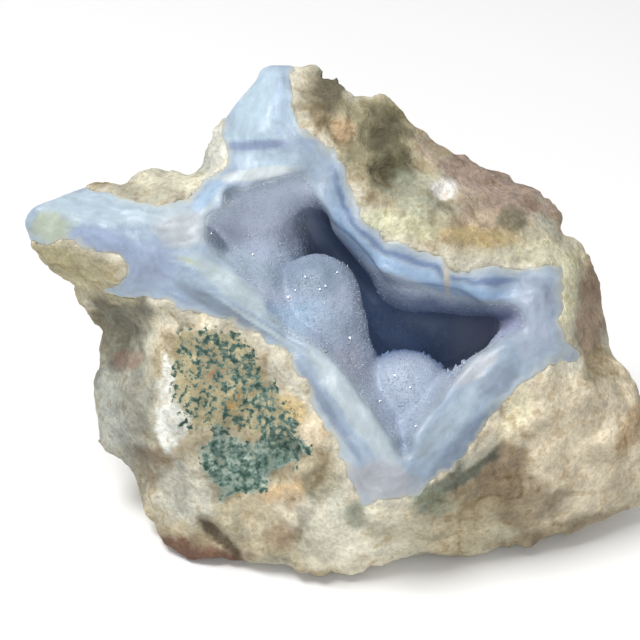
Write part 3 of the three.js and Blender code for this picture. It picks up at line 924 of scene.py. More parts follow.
def new_material(name: str) -> tuple[bpy.types.Material, bpy.types.NodeTree]:
    """An empty node material with its output."""
    material = bpy.data.materials.new(name)
    material.use_nodes = True
    material.node_tree.nodes.clear()
    return material, material.node_tree


def per_mm(size: float) -> float:
    """The texture scale that gives a pattern of this size in mm on Object coordinates, in metres."""
    return 1000 / size


@dataclass(frozen=True)
class Mottle:
    """A blotchy pattern: its size in mm, its detail, and the strengths that the ends of a span of it give."""

    size: float
    detail: float
    span: tuple[float, float]
    strength: tuple[float, float]

    def add(self, tree: bpy.types.NodeTree, place: bpy.types.NodeSocket) -> tuple[bpy.types.NodeSocket, ...]:
        """Adds the pattern to a material.

        Args:
            tree: the material's node tree.
            place: the coordinates that it is laid on.

        Returns:
            The pattern's height, and its strength.
        """
        noise = add_node(tree, "TexNoise", {
            "Vector": place, "Scale": per_mm(self.size), "Detail": self.detail, "Roughness": 0.6,
        }).outputs["Fac"]
        reach = add_node(tree, "MapRange", {
            "Value": noise, "From Min": self.span[0], "From Max": self.span[1],
            "To Min": self.strength[0], "To Max": self.strength[1],
        })
        return noise, reach.outputs[0]


@dataclass(frozen=True)
class WeatheredRock:
    """Weathered volcanic rock: matt, dusty, mottled grain by grain, so that light scatters with no gloss."""

    light: Mottle = Mottle(6.0, 4.0, (0.36, 0.64), (0.72, 1.28))
    grain: Mottle = Mottle(0.9, 3.0, (0.36, 0.64), (0.88, 1.12))
    pale: Mottle = Mottle(4.2, 4.0, (0.53, 0.62), (0.0, 0.5))
    dark: Mottle = Mottle(3.0, 4.0, (0.54, 0.63), (0.0, 0.6))
    moss: Mottle = Mottle(1.3, 5.0, (0.44, 0.64), (0.0, 1.0))
    moss_cover: float = 0.15
    moss_edge: tuple[float, float] = (0.57, 0.63)
    moss_colours: tuple[str, str] = ("#7d968c", "#374f45")
    paler: float = 1.35
    deeper: tuple[float, float, float] = (0.55, 0.48, 0.38)
    relief: float = 1.3
    roughness: float = 0.94

    def material(self) -> bpy.types.Material:
        """Builds the material: the mottled stain colour, with pale and dark grains, moss and a bump."""
        material, tree = new_material("weathered_rock")
        place = add_node(tree, "TexCoord").outputs["Object"]
        stain = add_node(tree, "Attribute", attribute_name="stain").outputs["Color"]
        swell, light = self.light.add(tree, place)
        crumb, fine = self.grain.add(tree, place)
        knob, pale = self.pale.add(tree, place)
        pit, dark = self.dark.add(tree, place)
        both = add_node(tree, "Math", {0: light, 1: fine}, operation="MULTIPLY").outputs[0]
        toned = add_node(tree, "VectorMath", {0: stain, "Scale": both}, operation="SCALE").outputs[0]
        paler = add_node(tree, "VectorMath", {0: toned, "Scale": self.paler}, operation="SCALE").outputs[0]
        deeper = add_node(tree, "VectorMath", {0: toned, 1: self.deeper}, operation="MULTIPLY").outputs[0]
        first = add_node(tree, "Mix", {"Factor": pale, 6: toned, 7: paler}, data_type="RGBA").outputs[2]
        second = add_node(tree, "Mix", {"Factor": dark, 6: first, 7: deeper}, data_type="RGBA").outputs[2]
        colour = self.mossy(tree, place, second)
        raised = add_node(tree, "Math", {0: knob, 1: 0.6, 2: swell}, operation="MULTIPLY_ADD").outputs[0]
        pitted = add_node(tree, "Math", {0: pit, 1: -0.8, 2: raised}, operation="MULTIPLY_ADD").outputs[0]
        height = add_node(tree, "Math", {0: crumb, 1: 0.35, 2: pitted}, operation="MULTIPLY_ADD").outputs[0]
        bump = add_node(tree, "Bump", {"Height": height, "Strength": 1.0, "Distance": self.relief / 1000})
        shader = add_node(tree, "BsdfPrincipled", {
            "Base Color": colour, "Roughness": self.roughness, "IOR": 1.5, "Specular IOR Level": 0.3,
            "Normal": bump.outputs["Normal"],
        })
        add_node(tree, "OutputMaterial", {"Surface": shader.outputs[0]})
        return material

    def mossy(
        self, tree: bpy.types.NodeTree, place: bpy.types.NodeSocket, ground: bpy.types.NodeSocket
    ) -> bpy.types.NodeSocket:
        """Lays the green grains over the rock, where the attribute green and their own pattern let them grow.

        Args:
            tree: the material's node tree.
            place: the coordinates that they are laid on.
            ground: the rock's colour.

        Returns:
            The colour with the grains over it.
        """
        cover = add_node(tree, "Attribute", attribute_name="green").outputs["Fac"]
        height, shade = self.moss.add(tree, place)
        raised = add_node(tree, "Math", {0: cover, 1: self.moss_cover, 2: height}, operation="MULTIPLY_ADD")
        grown = add_node(tree, "MapRange", {
            "Value": raised.outputs[0], "From Min": self.moss_edge[0], "From Max": self.moss_edge[1],
        })
        some = add_node(tree, "Math", {0: cover, 1: 4.0}, operation="MULTIPLY", use_clamp=True)
        share = add_node(tree, "Math", {0: grown.outputs[0], 1: some.outputs[0]}, operation="MULTIPLY")
        pale, dark = self.moss_colours
        tuft = add_node(tree, "Mix", {"Factor": shade, 6: rgba(pale), 7: rgba(dark)}, data_type="RGBA")
        layers = {"Factor": share.outputs[0], 6: ground, 7: tuft.outputs[2]}
        return add_node(tree, "Mix", layers, data_type="RGBA").outputs[2]


@dataclass(frozen=True)
class BrokenAgate:
    """Chalcedony on a fresh break: waxy and milky, so that light enters, spreads and softens its edges."""

    roughness: float = 0.42
    ior: float = 1.54
    cloud: float = 3.0
    grain: float = 0.5

    def material(self) -> bpy.types.Material:
        """Builds the material: the clouded stain colour, light scattered below it, and a splintery bump."""
        material, tree = new_material("broken_agate")
        place = add_node(tree, "TexCoord").outputs["Object"]
        stain = add_node(tree, "Attribute", attribute_name="stain").outputs["Color"]
        cloud = add_node(tree, "TexNoise", {
            "Vector": place, "Scale": per_mm(self.cloud), "Detail": 5.0, "Roughness": 0.6, "Distortion": 0.4,
        })
        grain = add_node(tree, "TexNoise", {"Vector": place, "Scale": per_mm(self.grain), "Detail": 2.0})
        tone = add_node(tree, "MapRange", {
            "Value": cloud.outputs["Fac"], "From Min": 0.3, "From Max": 0.7, "To Min": 0.92, "To Max": 1.08,
        })
        toned = add_node(tree, "VectorMath", {0: stain, "Scale": tone.outputs[0]}, operation="SCALE")
        height = add_node(tree, "Math", {0: cloud.outputs["Fac"], 1: grain.outputs["Fac"]}, operation="ADD")
        bump = add_node(tree, "Bump", {"Height": height.outputs[0], "Strength": 0.2, "Distance": 0.0004})
        shader = add_node(tree, "BsdfPrincipled", {
            "Base Color": toned.outputs[0], "Roughness": self.roughness, "IOR": self.ior,
            "Subsurface Weight": 0.35, "Subsurface Radius": (0.8, 1.0, 1.4), "Subsurface Scale": 0.0016,
            "Normal": bump.outputs["Normal"],
        })
        add_node(tree, "OutputMaterial", {"Surface": shader.outputs[0]})
        return material


@dataclass(frozen=True)
class SugaryDruse:
    """A skin of fine quartz crystals: frosty from afar, because each tiny face sends light its own way."""

    crystal: float = 0.35
    roughness: float = 0.38
    ior: float = 1.54

    def material(self) -> bpy.types.Material:
        """Builds the material: the stain colour over crystal-sized facets that tilt the light."""
        material, tree = new_material("sugary_druse")
        place = add_node(tree, "TexCoord").outputs["Object"]
        stain = add_node(tree, "Attribute", attribute_name="stain").outputs["Color"]
        cells = add_node(tree, "TexVoronoi", {"Vector": place, "Scale": per_mm(self.crystal)})
        far = cells.outputs["Distance"]
        tone = add_node(tree, "MapRange", {
            "Value": far, "From Min": 0.0, "From Max": 0.8, "To Min": 1.06, "To Max": 0.88,
        })
        toned = add_node(tree, "VectorMath", {0: stain, "Scale": tone.outputs[0]}, operation="SCALE")
        bump = add_node(tree, "Bump", {"Height": far, "Strength": 0.5, "Distance": 0.0002}, invert=True)
        shader = add_node(tree, "BsdfPrincipled", {
            "Base Color": toned.outputs[0], "Roughness": self.roughness, "IOR": self.ior,
            "Subsurface Weight": 0.3, "Subsurface Radius": (0.8, 1.0, 1.4), "Subsurface Scale": 0.0012,
            "Normal": bump.outputs["Normal"],
        })
        add_node(tree, "OutputMaterial", {"Surface": shader.outputs[0]})
        return material


@dataclass(frozen=True)
class QuartzPoint:
    """Clear small quartz points on the druse: glassy faces, milky inside, so that a few of them flash."""

    roughness: float = 0.12
    ior: float = 1.544

    def material(self) -> bpy.types.Material:
        """Builds the material: the druse's stain colour under glassy faces."""
        material, tree = new_material("quartz_point")
        stain = add_node(tree, "Attribute", attribute_name="stain").outputs["Color"]
        shader = add_node(tree, "BsdfPrincipled", {
            "Base Color": stain, "Roughness": self.roughness, "IOR": self.ior, "Subsurface Weight": 0.2,
            "Subsurface Radius": (0.8, 1.0, 1.4), "Subsurface Scale": 0.0008,
        })
        add_node(tree, "OutputMaterial", {"Surface": shader.outputs[0]})
        return material


def finish_piece(thing: bpy.types.Object, material: bpy.types.Material, slot: Slot, *nodes: str) -> None:
    """Gives a piece its material and its body.

    Args:
        thing: the piece.
        material: its material.
        slot: its material slot; not used.
        nodes: the CAD nodes that it replaces, if any.
    """
    thing.data.materials.append(material)
    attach(thing, "root")
    if nodes:
        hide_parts(*nodes)
    log.info("%s: %d faces", thing.name, len(thing.data.polygons))


@dataclass(frozen=True)
class HostRock:
    """The weathered rock round the agate."""

    shape: StoneShape
    step: float = 0.69
    tan: str = "#b9af95"
    grey: str = "#b9bbac"
    brown: str = "#94866b"
    cream: str = "#d9d4c2"
    crease_width: float = 0.2
    crease_shade: tuple[float, float, float] = (0.3, 0.35, 0.42)
    mottles: tuple[Layer, ...] = (Layer(9, 11, 1), Layer(3.4, 12, 1), Layer(1.5, 13, 1))
    moss_spread: Layer = Layer(3.4, 12, 1)
    fine_relief: tuple[Layer, ...] = (Layer(1.5, 21, 0.16), Layer(0.8, 22, 0.1))
    flat_spot_height: float = 0.0004

    def stains(self) -> list[Stain | Patch]:
        """The patches of colour on the rock, from the upper rock round to the left arm; the dark one under
        the arm is painted shadow.
        """
        return [
            Stain((11, 36), (7, 9), -20, "#a19a7c", 0.8), Stain((16, 42), (3, 2.4), 0, "#b3aa82", 0.8),
            Stain((12.6, 38), (4.4, 4.6), -30, "#5a5442", 0.95, 0.5, 0.9),
            Stain((14.4, 30.8), (4.4, 4.4), 10, "#57543f", 0.95, 0.5, 0.8),
            Stain((1.8, 45.6), (3.4, 4.6), 0, "#5c5645", 0.9, 0.5, 1.0),
            Stain((4.6, 38), (2.4, 2.4), 0, "#bb9f7f", 0.7),
            Stain((9, 41.5), (5, 2.6), -10, "#8f886c", 0.7),
            Stain((35, 28), (14, 5.5), -28, "#98857a", 0.9), Stain((30, 22), (8, 4), -20, "#a3917f", 0.7),
            Stain((21, 24), (7, 5), -30, "#aeb09c", 0.8),
            Stain((25, 26), (2.4, 2.1), 0, "#e3e0da", 0.95, 0.3),
            Stain((16, 19), (7, 3), -10, "#cdceb0", 0.85), Stain((32, 16.6), (8, 2.0), -6, "#b39f72", 0.75),
            Stain((38.5, 20), (3, 2.6), 0, "#6f6a57", 0.85), Stain((44, 13), (9, 2.6), 0, "#c3bfa4", 0.7),
            Stain((-32, 27), (9, 3.4), 0, "#c9c5b1", 0.8), Stain((-38, 26), (3, 1.6), 0, "#9f9a86", 0.6),
            Stain((-21.4, 34), (2.4, 6), -20, "#c9ccc6", 0.7),
            Stain((-40, -18), (8, 13), 0, "#93948a", 0.85), Stain((-43, -14), (3, 4.5), 0, "#a1a59d", 0.7),
            # The dark stain at (-41, -1) is painted shadow of the left arm on the recess below it.
            Stain((-42, -22), (3.4, 4), 0, "#adb0a8", 0.7), Stain((-41, -1), (9, 6.5), 30, "#6d6c5f", 0.9),
            Stain((-38, -8), (2.8, 1.8), 0, "#8d7263", 0.6),
            Stain((-33, -29), (3.4, 4.5), 0, "#7d6b58", 0.8),
            Stain((-36, -33), (1.6, 6), -15, "#8b8776", 0.8),
            Stain((-27, -34), (6, 7), 20, "#c1c1b5", 0.75),
            Stain((-23, -48), (10, 3.4), -12, "#755849", 0.95),
            Stain((-20.5, -43), (5.5, 1.5), -42, "#5d5142", 0.95),
            Stain((-26, -2), (8, 2.4), -10, "#ddd5bf", 0.8), Stain((-7, -13), (3, 7), 28, "#c7c4b6", 0.7),
            Patch(OCHRE_GROUND, "#a9a07f"), Patch(WHITE_VEIN, "#d9dad2", 0.95, 2.4, 1.4),
            Patch(GREEN_CRUST, "#9aa89d", 0.95, 2.0), Stain((-5, -18), (2.2, 4), 35, "#bda676", 0.8),
            Stain((-21, -11), (1.2, 1.0), 0, "#b98560", 0.7),
            Stain((-17.6, -16.4), (1.0, 2.8), -32, "#a58249", 0.85),
            Stain((-1.6, -22), (3, 3), 0, "#dccdb2", 0.85), Stain((-8, -36), (10, 2.4), 30, "#c0a57e", 0.8),
            Stain((-7, -41), (4, 6), -25, "#96836d", 0.7), Stain((-14, -40), (6, 3), 20, "#bfb9a2", 0.7),
            Stain((8, -42), (13, 9), 0, "#e6e1cd", 0.75), Stain((0, -33), (4, 3.4), 0, "#8d8a76", 0.7),
            Stain((3.6, -38), (2.4, 3.4), 0, "#c8c8b8", 0.7), Stain((7, -39), (2, 3), 0, "#8f9483", 0.7),
            Stain((52, -27), (17, 19), 0, "#dbcfb6", 0.8), Stain((26, -42), (15, 5), 0, "#aca287", 0.6),
            Stain((36, -30), (6, 7), 20, "#84725a", 0.8), Stain((42, -37), (7, 4.4), 10, "#85775f", 0.75),
            Stain((52, -42), (14, 2.6), 12, "#7c6f56", 0.75), Stain((62, -22), (2, 6), -20, "#a98a60", 0.6),
            Stain((27, -32), (9, 2.0), 35, "#5d6359", 0.9, 0.8),
            Stain((22, -36), (4, 3), 0, "#8d927f", 0.7), Stain((39, -18.5), (3, 4.8), -28, "#dbd3b6", 0.9),
            Stain((33, -25.5), (5, 1.2), 45, "#cfcbb8", 0.8), Stain((55, 3), (3.4, 13), -8, "#978370", 0.9),
            Stain((49.5, 5), (1.8, 8), -6, "#cfccae", 0.85), Stain((55, -9), (3, 4), -30, "#8f8368", 0.8),
            Stain((-48, 10.5), (10, 3.6), -28, "#c0b897", 0.85),
            Stain((-52, 12), (5, 2), -35, "#a39b77", 0.7),
        ]

    def green(self, seen: Array) -> Array:
        """How thickly green grains lie: nearly whole on the green crust, and loose on the ochre ground.

        Args:
            seen: seen points in mm.

        Returns:
            Shares from 0 to 1, one a point.
        """
        noise = self.moss_spread.at(seen)
        loose = Patch(OCHRE_GROUND, "", 0.8, 2.0, 3.0).weight(seen, noise)
        right = 0.55 + 0.45 * ramp(seen[:, 0] + 0.6 * seen[:, 1], -34, -20)
        whole = Patch(GREEN_CRUST, "", 1.0, 2.0, 1.6).weight(seen, noise)
        return np.maximum(loose * right, whole) * self.front(seen)

    def front(self, seen: Array) -> Array:
        """The share of the face's colours: all on the front, and none on the back."""
        return ramp(seen[:, 2], -24, -14)

    def colours(self, seen: Array) -> Array:
        """Colours the rock: mottled tan, grey and brown, cream by the agate, the patches, and painted shade
        in the creases.

        Args:
            seen: seen points in mm.

        Returns:
            Linear colours, one a point.
        """
        broad, middle, small = (layer.at(seen) for layer in self.mottles)
        colours = np.tile(linear(self.tan), (len(seen), 1))
        colours = mix(colours, self.grey, ramp(broad + 0.5 * middle, 0.0, 0.8) * 0.7)
        colours = mix(colours, self.brown, ramp(-broad + 0.6 * middle, 0.1, 0.9) * 0.8)
        edge = self.shape.agate_edge(seen[:, 0], seen[:, 1])
        above = seen[:, 2] > self.shape.face(seen[:, 0], seen[:, 1]) - 5
        colours = mix(colours, self.cream, above * ramp(edge + 1.2 * middle, 3.2, 0.2) * 0.75)
        painted = paint(colours, seen, self.stains(), 0.6 * middle + 0.4 * small)
        colours = colours + (painted - colours) * self.front(seen)[:, None]
        # Painted shade: the creases of the relief are darkened, in patches.
        crease = ramp(np.abs(self.shape.lump_noise.at(seen)), self.crease_width, 0)
        painted_crease_shade = crease * ramp(middle - broad, -0.1, 0.7)
        return colours * (1 - painted_crease_shade[:, None] * np.array(self.crease_shade))

    def build(self) -> bpy.types.Object:
        """Builds the rock: the stone less the agate's space, roughened by fine noise along its normals."""
        grid = Grid((-65, -58, -60), (74, 55, 13), self.step)
        edge = self.shape.agate_edge(*grid.flat())
        under_agate = self.shape.sunk * ramp(edge, 0.3, -0.3)[:, :, None]
        stone = self.shape.stone(grid, edge) + under_agate
        field = np.maximum(stone, -self.shape.agate_space(grid, edge, -self.shape.overlap))
        seen, faces = main_body(*skin_of(field, grid))
        outward = normals_of(seen, faces)
        fine = sum(layer.at(seen) for layer in self.fine_relief)
        above_ground = FACE.world(seen)[:, 2] > self.flat_spot_height
        shaped = seen + outward * (fine * above_ground)[:, None]
        rock = mesh_object("weathered_rock", FACE.world(shaped), faces, True)
        store_colour(rock, self.colours(seen))
        store_value(rock, "green", self.green(seen))
        finish_piece(rock, WeatheredRock().material(), Slot.ROCK, "host_rock")
        return rock


@dataclass(frozen=True)
class BlueStone:
    """The colours that run through the agate and on into its quartz skin without a seam."""

    shape: StoneShape
    base: str = "#a9bcd6"
    druse: str = "#b0bbd0"
    # Painted shade: the darker blue laid where the hollow is deep.
    deep_shade: str = "#7389b0"
    # Painted shade for the underside of the lip.
    lip: str = "#4f5f80"
    shade: tuple[float, float, float] = (0.82, 0.81, 0.75)
    wander: tuple[Layer, ...] = (Layer(6, 31, 1), Layer(1.6, 32, 1))
    streaks: tuple[Layer, ...] = (Layer(1, 35, 0.1), Layer(0.45, 36, 0.07))
    druse_wander: Layer = Layer(4, 41, 1)

    def agate_stains(self) -> list[Stain]:
        """The broad colours of the agate, from the upper arm round to the left arm, with a painted shadow
        line on the upper arm.
        """
        return [
            Stain((-11, 42), (7, 8.5), 0, "#c3daf1", 0.95), Stain((-8, 42), (1.6, 7), 0, "#b9cfee", 0.6),
            # Painted shadow: the dark blue line across the upper arm.
            Stain((-12, 35), (8.4, 0.9), 4, "#8a9ac2", 0.85, 0.5, 1.0),
            Stain((-11, 32), (8.6, 1.8), 2, "#bcd2ea", 0.9, 0.25),
            Stain((-13, 29.2), (8, 1.2), 8, "#d6dfe9", 0.9, 0.25),
            Stain((-23, 22), (2, 6), -28, "#c6d5e6", 0.8),
            Stain((-22.5, 25), (1.2, 4), -40, "#a9c8ec", 0.8),
            Stain((-28, 18), (5, 3.6), 0, "#cdd3dc", 0.7), Stain((-44, 22.5), (13, 3), -4, "#bccfe2", 0.8),
            Stain((-44, 16), (7, 2), -14, "#a5b5dc", 0.7),
            Stain((-54, 18.5), (4.4, 3.6), 0, "#c0cbba", 0.85), Stain((-35, 11), (6, 5), 0, "#a2b1d4", 0.8),
            Stain((-24, 11), (5, 0.7), -20, "#c3ccb6", 0.8, 0.3),
            Stain((-18, 7), (10, 2.2), -38, "#bdcdda", 0.9, 0.3),
            Stain((-24, 4), (9, 2), -16, "#9db0d0", 0.7, 0.4),
            Stain((-17, 1), (12, 1.5), -28, "#8695a9", 0.85, 0.3),
            Stain((-11, -1.6), (12, 0.5), -33, "#c3d3e3", 0.8, 0.3),
            Stain((-9, 2.4), (1.8, 1.6), 0, "#7f92b8", 0.7),
            Stain((7, -18), (16, 2.3), -54, "#c6d4e2", 0.95, 0.25),
            Stain((1.2, -17.5), (13, 0.9), -57, "#8f9fbc", 0.85, 0.3),
            Stain((-0.8, -19.5), (12, 0.7), -57, "#c5d0dc", 0.7, 0.3),
            Stain((11, -32.5), (8, 4), 0, "#bcc0cf", 0.9),
            Stain((27, -19), (12, 2), 48, "#b4c5da", 0.85, 0.3),
            Stain((29, -24.5), (10, 2.2), 47, "#7f91ad", 0.9, 0.35),
            Stain((42.5, 1), (5, 8), 0, "#aebad3", 0.85), Stain((36, -12), (4.4, 2.6), 40, "#97a6c0", 0.8),
            Stain((32, -9), (5, 1.6), 40, "#c6cbd8", 0.8),
            Stain((25.3, 9), (0.7, 5.4), 4, "#c9c3bb", 0.9, 0.2),
            Stain((41, 9.5), (1.3, 3.4), 10, "#b6c4dc", 0.8, 0.2),
        ]

    def druse_stains(self) -> list[Stain]:
        """The broad colours of the crust, from the upper left chamber to the lower lump, with painted shade
        in the bowl's valley.
        """
        soft = 1.3
        return [
            Stain((-10, 22), (13, 7), 10, "#d2dded", 0.9, 0.4, soft),
            # The next two stains are painted shade: a dim band along the bottom of the upper-left bowl, and a
            # dark mark in the valley between its wall and the middle lump.
            Stain((-13, 16), (9, 3), 0, "#abb5c9", 0.8, 0.4, soft),
            Stain((-21, 16), (4.4, 1.4), -42, "#6b7689", 0.85, 0.4),
            Stain((-14, 10.5), (7, 2.4), -25, "#a9b8c8", 0.8),
            Stain((-1, 9.5), (8, 4), 0, "#8596aa", 0.85, 0.4, soft),
            Stain((-12, 3.4), (3, 2), -30, "#8a9db6", 0.7),
            Stain((-5, 0.2), (6.5, 3.6), 10, "#a6c2da", 0.7, 0.3, soft),
            Stain((3, -4), (6, 5), 20, "#93a3b8", 0.8, 0.4, soft),
            Stain((6.5, -11), (3.6, 7), 24, "#a4a8b8", 0.85, 0.4, soft),
            Stain((17, -15.5), (8, 9), 0, "#b0bdd0", 0.85, 0.4, soft),
            Stain((30, -9), (7, 3), 40, "#bcc5d6", 0.8, 0.4, soft),
            Stain((37, -0.5), (6, 5), 0, "#a9aecb", 0.85, 0.4, soft),
        ]

    def agate(self, seen: Array) -> Array:
        """Colours the agate: bands that follow the way from the rock to the hollow, and stains over them.

        Args:
            seen: seen points in mm.

        Returns:
            Linear colours, one a point.
        """
        u, v = seen[:, 0], seen[:, 1]
        broad, small = (layer.at(seen) for layer in self.wander)
        rock_side = -self.shape.agate_edge(u, v)
        hollow_side = np.maximum(outline_distance(MOUTH_CURVE, u, v), 0)
        share = rock_side / np.maximum(rock_side + hollow_side, 1)
        colours = np.tile(linear(self.base), (len(seen), 1))
        lip = ramp(u, 1, 4) * ramp(v, -2, 4)
        wave = share + 0.05 * broad + 0.03 * small
        near_hollow = ramp(hollow_side, 14, 7)
        colours = mix(colours, "#c3ceda", near_hollow * ramp(wave, 0.3, 0.1) * 0.8)
        colours = mix(colours, "#7088b4", near_hollow * lip * ramp(np.abs(wave - 0.4), 0.14, 0.03) * 0.95)
        colours = mix(colours, "#9dbbe2", near_hollow * lip * ramp(np.abs(wave - 0.74), 0.24, 0.1) * 0.9)
        colours = mix(colours, "#c3cfe0", near_hollow * ramp(wave, 0.9, 1.0) * 0.5)
        fine_bands = np.sin(rock_side * 2.6 + 1.2 * broad) * ramp(rock_side, 0.3, 1.5)
        colours = mix(colours, "#8ba2ca", np.clip(fine_bands, 0, 1) * 0.2)
        colours = paint(colours, seen, self.agate_stains(), 0.5 * broad + 0.5 * small)
        along = np.stack([rock_side * 1.6, (u + v) * 0.22, (u - v) * 0.22], -1)
        colours = colours * (1 + sum(layer.at(along) for layer in self.streaks))[:, None]
        colours = mix(colours, "#cfd0c8", ramp(rock_side + 0.6 * small, 1.1, 0.0) * 0.75)
        return colours * np.array(self.shade)

    def colours(self, seen: Array, outward: Array) -> Array:
        """Colours the blue stone: agate outside the mouth, druse inside it, and painted shade where the
        hollow is deep.

        Args:
            seen: seen points in mm.
            outward: unit normals there, which tell the lip's downward-facing underside, where shade is
                painted.

        Returns:
            Linear colours, one a point.
        """
        u, v = seen[:, 0], seen[:, 1]
        broad = self.druse_wander.at(seen)
        inside = ramp(-outline_distance(MOUTH_CURVE, u, v) + 0.5 * broad, -0.6, 2.6)
        skin = paint(np.tile(linear(self.druse), (len(seen), 1)), seen, self.druse_stains(), broad)
        colours = self.agate(seen)
        colours = colours + (skin - colours) * inside[:, None]
        depth = self.shape.face(u, v) - seen[:, 2]
        # Painted shade: the lip's underside is darkened where it faces down, deep in the hollow, right of the
        # slit.
        painted_lip_shade = ramp(-outward[:, 1], 0.0, 0.7) * ramp(depth, 0.5, 8) * ramp(u + 0.3 * v, 4, 8)
        colours = mix(colours, self.lip, painted_lip_shade * 0.85)
        # Painted shade: a darker blue where the hollow is deep, faded out left of u = -7 and right of u = 33.
        middle = ramp(u, 33, 21) * ramp(u, -7, 6)
        return mix(colours, self.deep_shade, ramp(depth + 0.6 * broad, 11, 17) * inside * middle)


@dataclass(frozen=True)
class AgateLining:
    """The banded agate between the rock and the hollow."""

    shape: StoneShape
    step: float = 0.51
    band_relief: float = 0.05
    band_wander: Layer = Layer(5, 33, 1)
    grain_relief: Layer = Layer(1.1, 34, 0.08)

    def build(self) -> bpy.types.Object:
        """Builds the lining: the stone inside the agate's space, which sinks under the crust at the mouth."""
        grid = Grid((-64, -41, -44), (57, 56, 13), self.step)
        edge = self.shape.agate_edge(*grid.flat())
        body = self.shape.body(grid, self.shape.stone(grid, edge))
        body = body + self.shape.under_crust * ramp(self.shape.hollow(grid, self.shape.crust), -0.2, -1.4)
        field = np.maximum(body, self.shape.agate_space(grid, edge, 0))
        seen, faces = main_body(*skin_of(field, grid))
        outward = normals_of(seen, faces)
        rock_side = -self.shape.agate_edge(seen[:, 0], seen[:, 1])
        bands = self.band_relief * np.sin(rock_side * 3.1 + self.band_wander.at(seen))
        off_mouth = ramp(outline_distance(MOUTH_CURVE, seen[:, 0], seen[:, 1]), 0.4, 2.4)
        fine = (self.grain_relief.at(seen) + bands) * off_mouth
        agate = mesh_object("banded_agate", FACE.world(seen + outward * fine[:, None]), faces, True)
        store_colour(agate, BlueStone(self.shape).colours(seen, outward))
        finish_piece(agate, BrokenAgate().material(), Slot.AGATE, "agate_lining")
        return agate


@dataclass(frozen=True)
class DruseCrust:
    """The quartz skin of the hollow, with its grains and its larger points."""

    shape: StoneShape
    step: float = 0.385
    grains: int = 20000
    grain_size: float = 0.11
    crest_points: int = 30
    tiny_flashes: int = 30
    lean: float = 0.35
    seed: int = 7
    relief: tuple[Layer, ...] = (Layer(0.9, 42, 0.1), Layer(3.2, 43, 0.25))

    def build(self) -> bpy.types.Object:
        """Builds the crust between the lining and the hollow, knobbly at the size of its crystals."""
        grid = Grid((-28, -33, -34), (46, 33, 13), self.step)
        edge = self.shape.agate_edge(*grid.flat())
        body = self.shape.body(grid, self.shape.stone(grid, edge))
        space = self.shape.hollow(grid, self.shape.crust)
        field = np.maximum(body + self.shape.crust_dive * ramp(space, -0.7, 0), space)
        seen, faces = main_body(*skin_of(field, grid))
        outward = normals_of(seen, faces)
        off_mouth = ramp(outline_distance(MOUTH_CURVE, seen[:, 0], seen[:, 1]), 0.6, -1.6)
        fine = sum(layer.at(seen) for layer in self.relief) * off_mouth
        shaped = seen + outward * fine[:, None]
        colours = BlueStone(self.shape).colours(seen, outward)
        crust = mesh_object("druse_skin", FACE.world(shaped), faces, True)
        store_colour(crust, colours)
        finish_piece(crust, SugaryDruse().material(), Slot.DRUSE, "druse_crust")
        self.build_grains(shaped, outward, colours)
        return crust

    def build_grains(self, seen: Array, outward: Array, colours: Array) -> None:
        """Builds the grains: small six-sided points that lean every way, a few tall ones, and bright facets.

        Args:
            seen: the skin's points in mm.
            outward: unit normals there.
            colours: linear colours there.
        """
        rng = np.random.default_rng(self.seed)
        mouth = outline_distance(MOUTH_CURVE, seen[:, 0], seen[:, 1]) < -0.3
        open_side = (outward[:, 2] > 0.05) & (seen[:, 2] > -18) & mouth
        open_side &= self.shape.face(seen[:, 0], seen[:, 1]) - seen[:, 2] > 0.8
        places = np.flatnonzero(open_side)
        picked = places[rng.integers(0, len(places), self.grains)]
        radius = rng.gamma(4, self.grain_size / 4, self.grains)
        axis = outward[picked] + rng.normal(0, self.lean, (self.grains, 3))
        frosty = QuartzPoint(0.3)
        grains = HexagonalPoints("druse_grains", seen[picked], axis, radius, 1.0)
        grains.build(colours[picked], frosty, rng)
        tall = self.crest(seen, outward, rng)
        axis = np.array([0.05, 0.8, 0.5]) + rng.normal(0, self.lean, (len(tall), 3))
        points = HexagonalPoints("tall_points", seen[tall], axis, rng.uniform(0.35, 0.8, len(tall)), 1.4)
        points.build(colours[tall], frosty, rng)
        flash = np.concatenate([self.nearest(FLASHES, seen, -20), rng.choice(places, self.tiny_flashes)])
        lifted = seen[flash] + 0.25 * outward[flash]
        large, tiny = rng.uniform(0.14, 0.3, len(FLASHES)), rng.uniform(0.06, 0.12, self.tiny_flashes)
        facets = HexagonalPoints(
            "bright_facets", lifted, self.mirror_way(lifted), np.concatenate([large, tiny]), 0.0
        )
        facets.build(colours[flash], QuartzPoint(0.06), rng)

    def crest(self, seen: Array, outward: Array, rng: np.random.Generator) -> Array:
        """Picks points of the skin along the top of the lower lump, where it turns away from the eye.

        Args:
            seen: the skin's points in mm.
            outward: unit normals there.
            rng: where the choice comes from.

        Returns:
            Numbers of the picked points.
        """
        u, v, w = seen.T
        on_lump = (u > 9.5) & (u < 30) & (v > -12) & (v < -3) & (w > -17)
        places = np.flatnonzero(on_lump & (np.abs(outward[:, 2]) < 0.3) & (outward[:, 1] > 0.5))
        return rng.choice(places, min(self.crest_points, len(places)), replace=False)

    def nearest(self, places: Outline, seen: Array, deepest: float) -> Array:
        """Finds the point of the skin that the eye sees at each place: the highest one near it.

        Args:
            places: seen places in mm.
            seen: the skin's points in mm.
            deepest: the least height that counts.

        Returns:
            Numbers of the points, one a place.
        """
        found = []
        for u, v in places:
            near = np.hypot(seen[:, 0] - u, seen[:, 1] - v) < self.step
            height = np.where(near & (seen[:, 2] > deepest), seen[:, 2], -np.inf)
            found.append(int(height.argmax()))
        return np.array(found)

    def mirror_way(self, seen: Array) -> Array:
        """The way a facet must face to send the key light to the eye: half-way between the two.

        Args:
            seen: the facets' places in mm.

        Returns:
            Directions in the face frame, one a facet.
        """
        place = FACE.world(seen)
        light, eye = np.array(KEY_LIGHT) - place, FACE.world(np.array([0.0, 0.0, FACE.eye])) - place
        half = light / np.linalg.norm(light, axis=1)[:, None] + eye / np.linalg.norm(eye, axis=1)[:, None]
        return FACE.from_world(half)


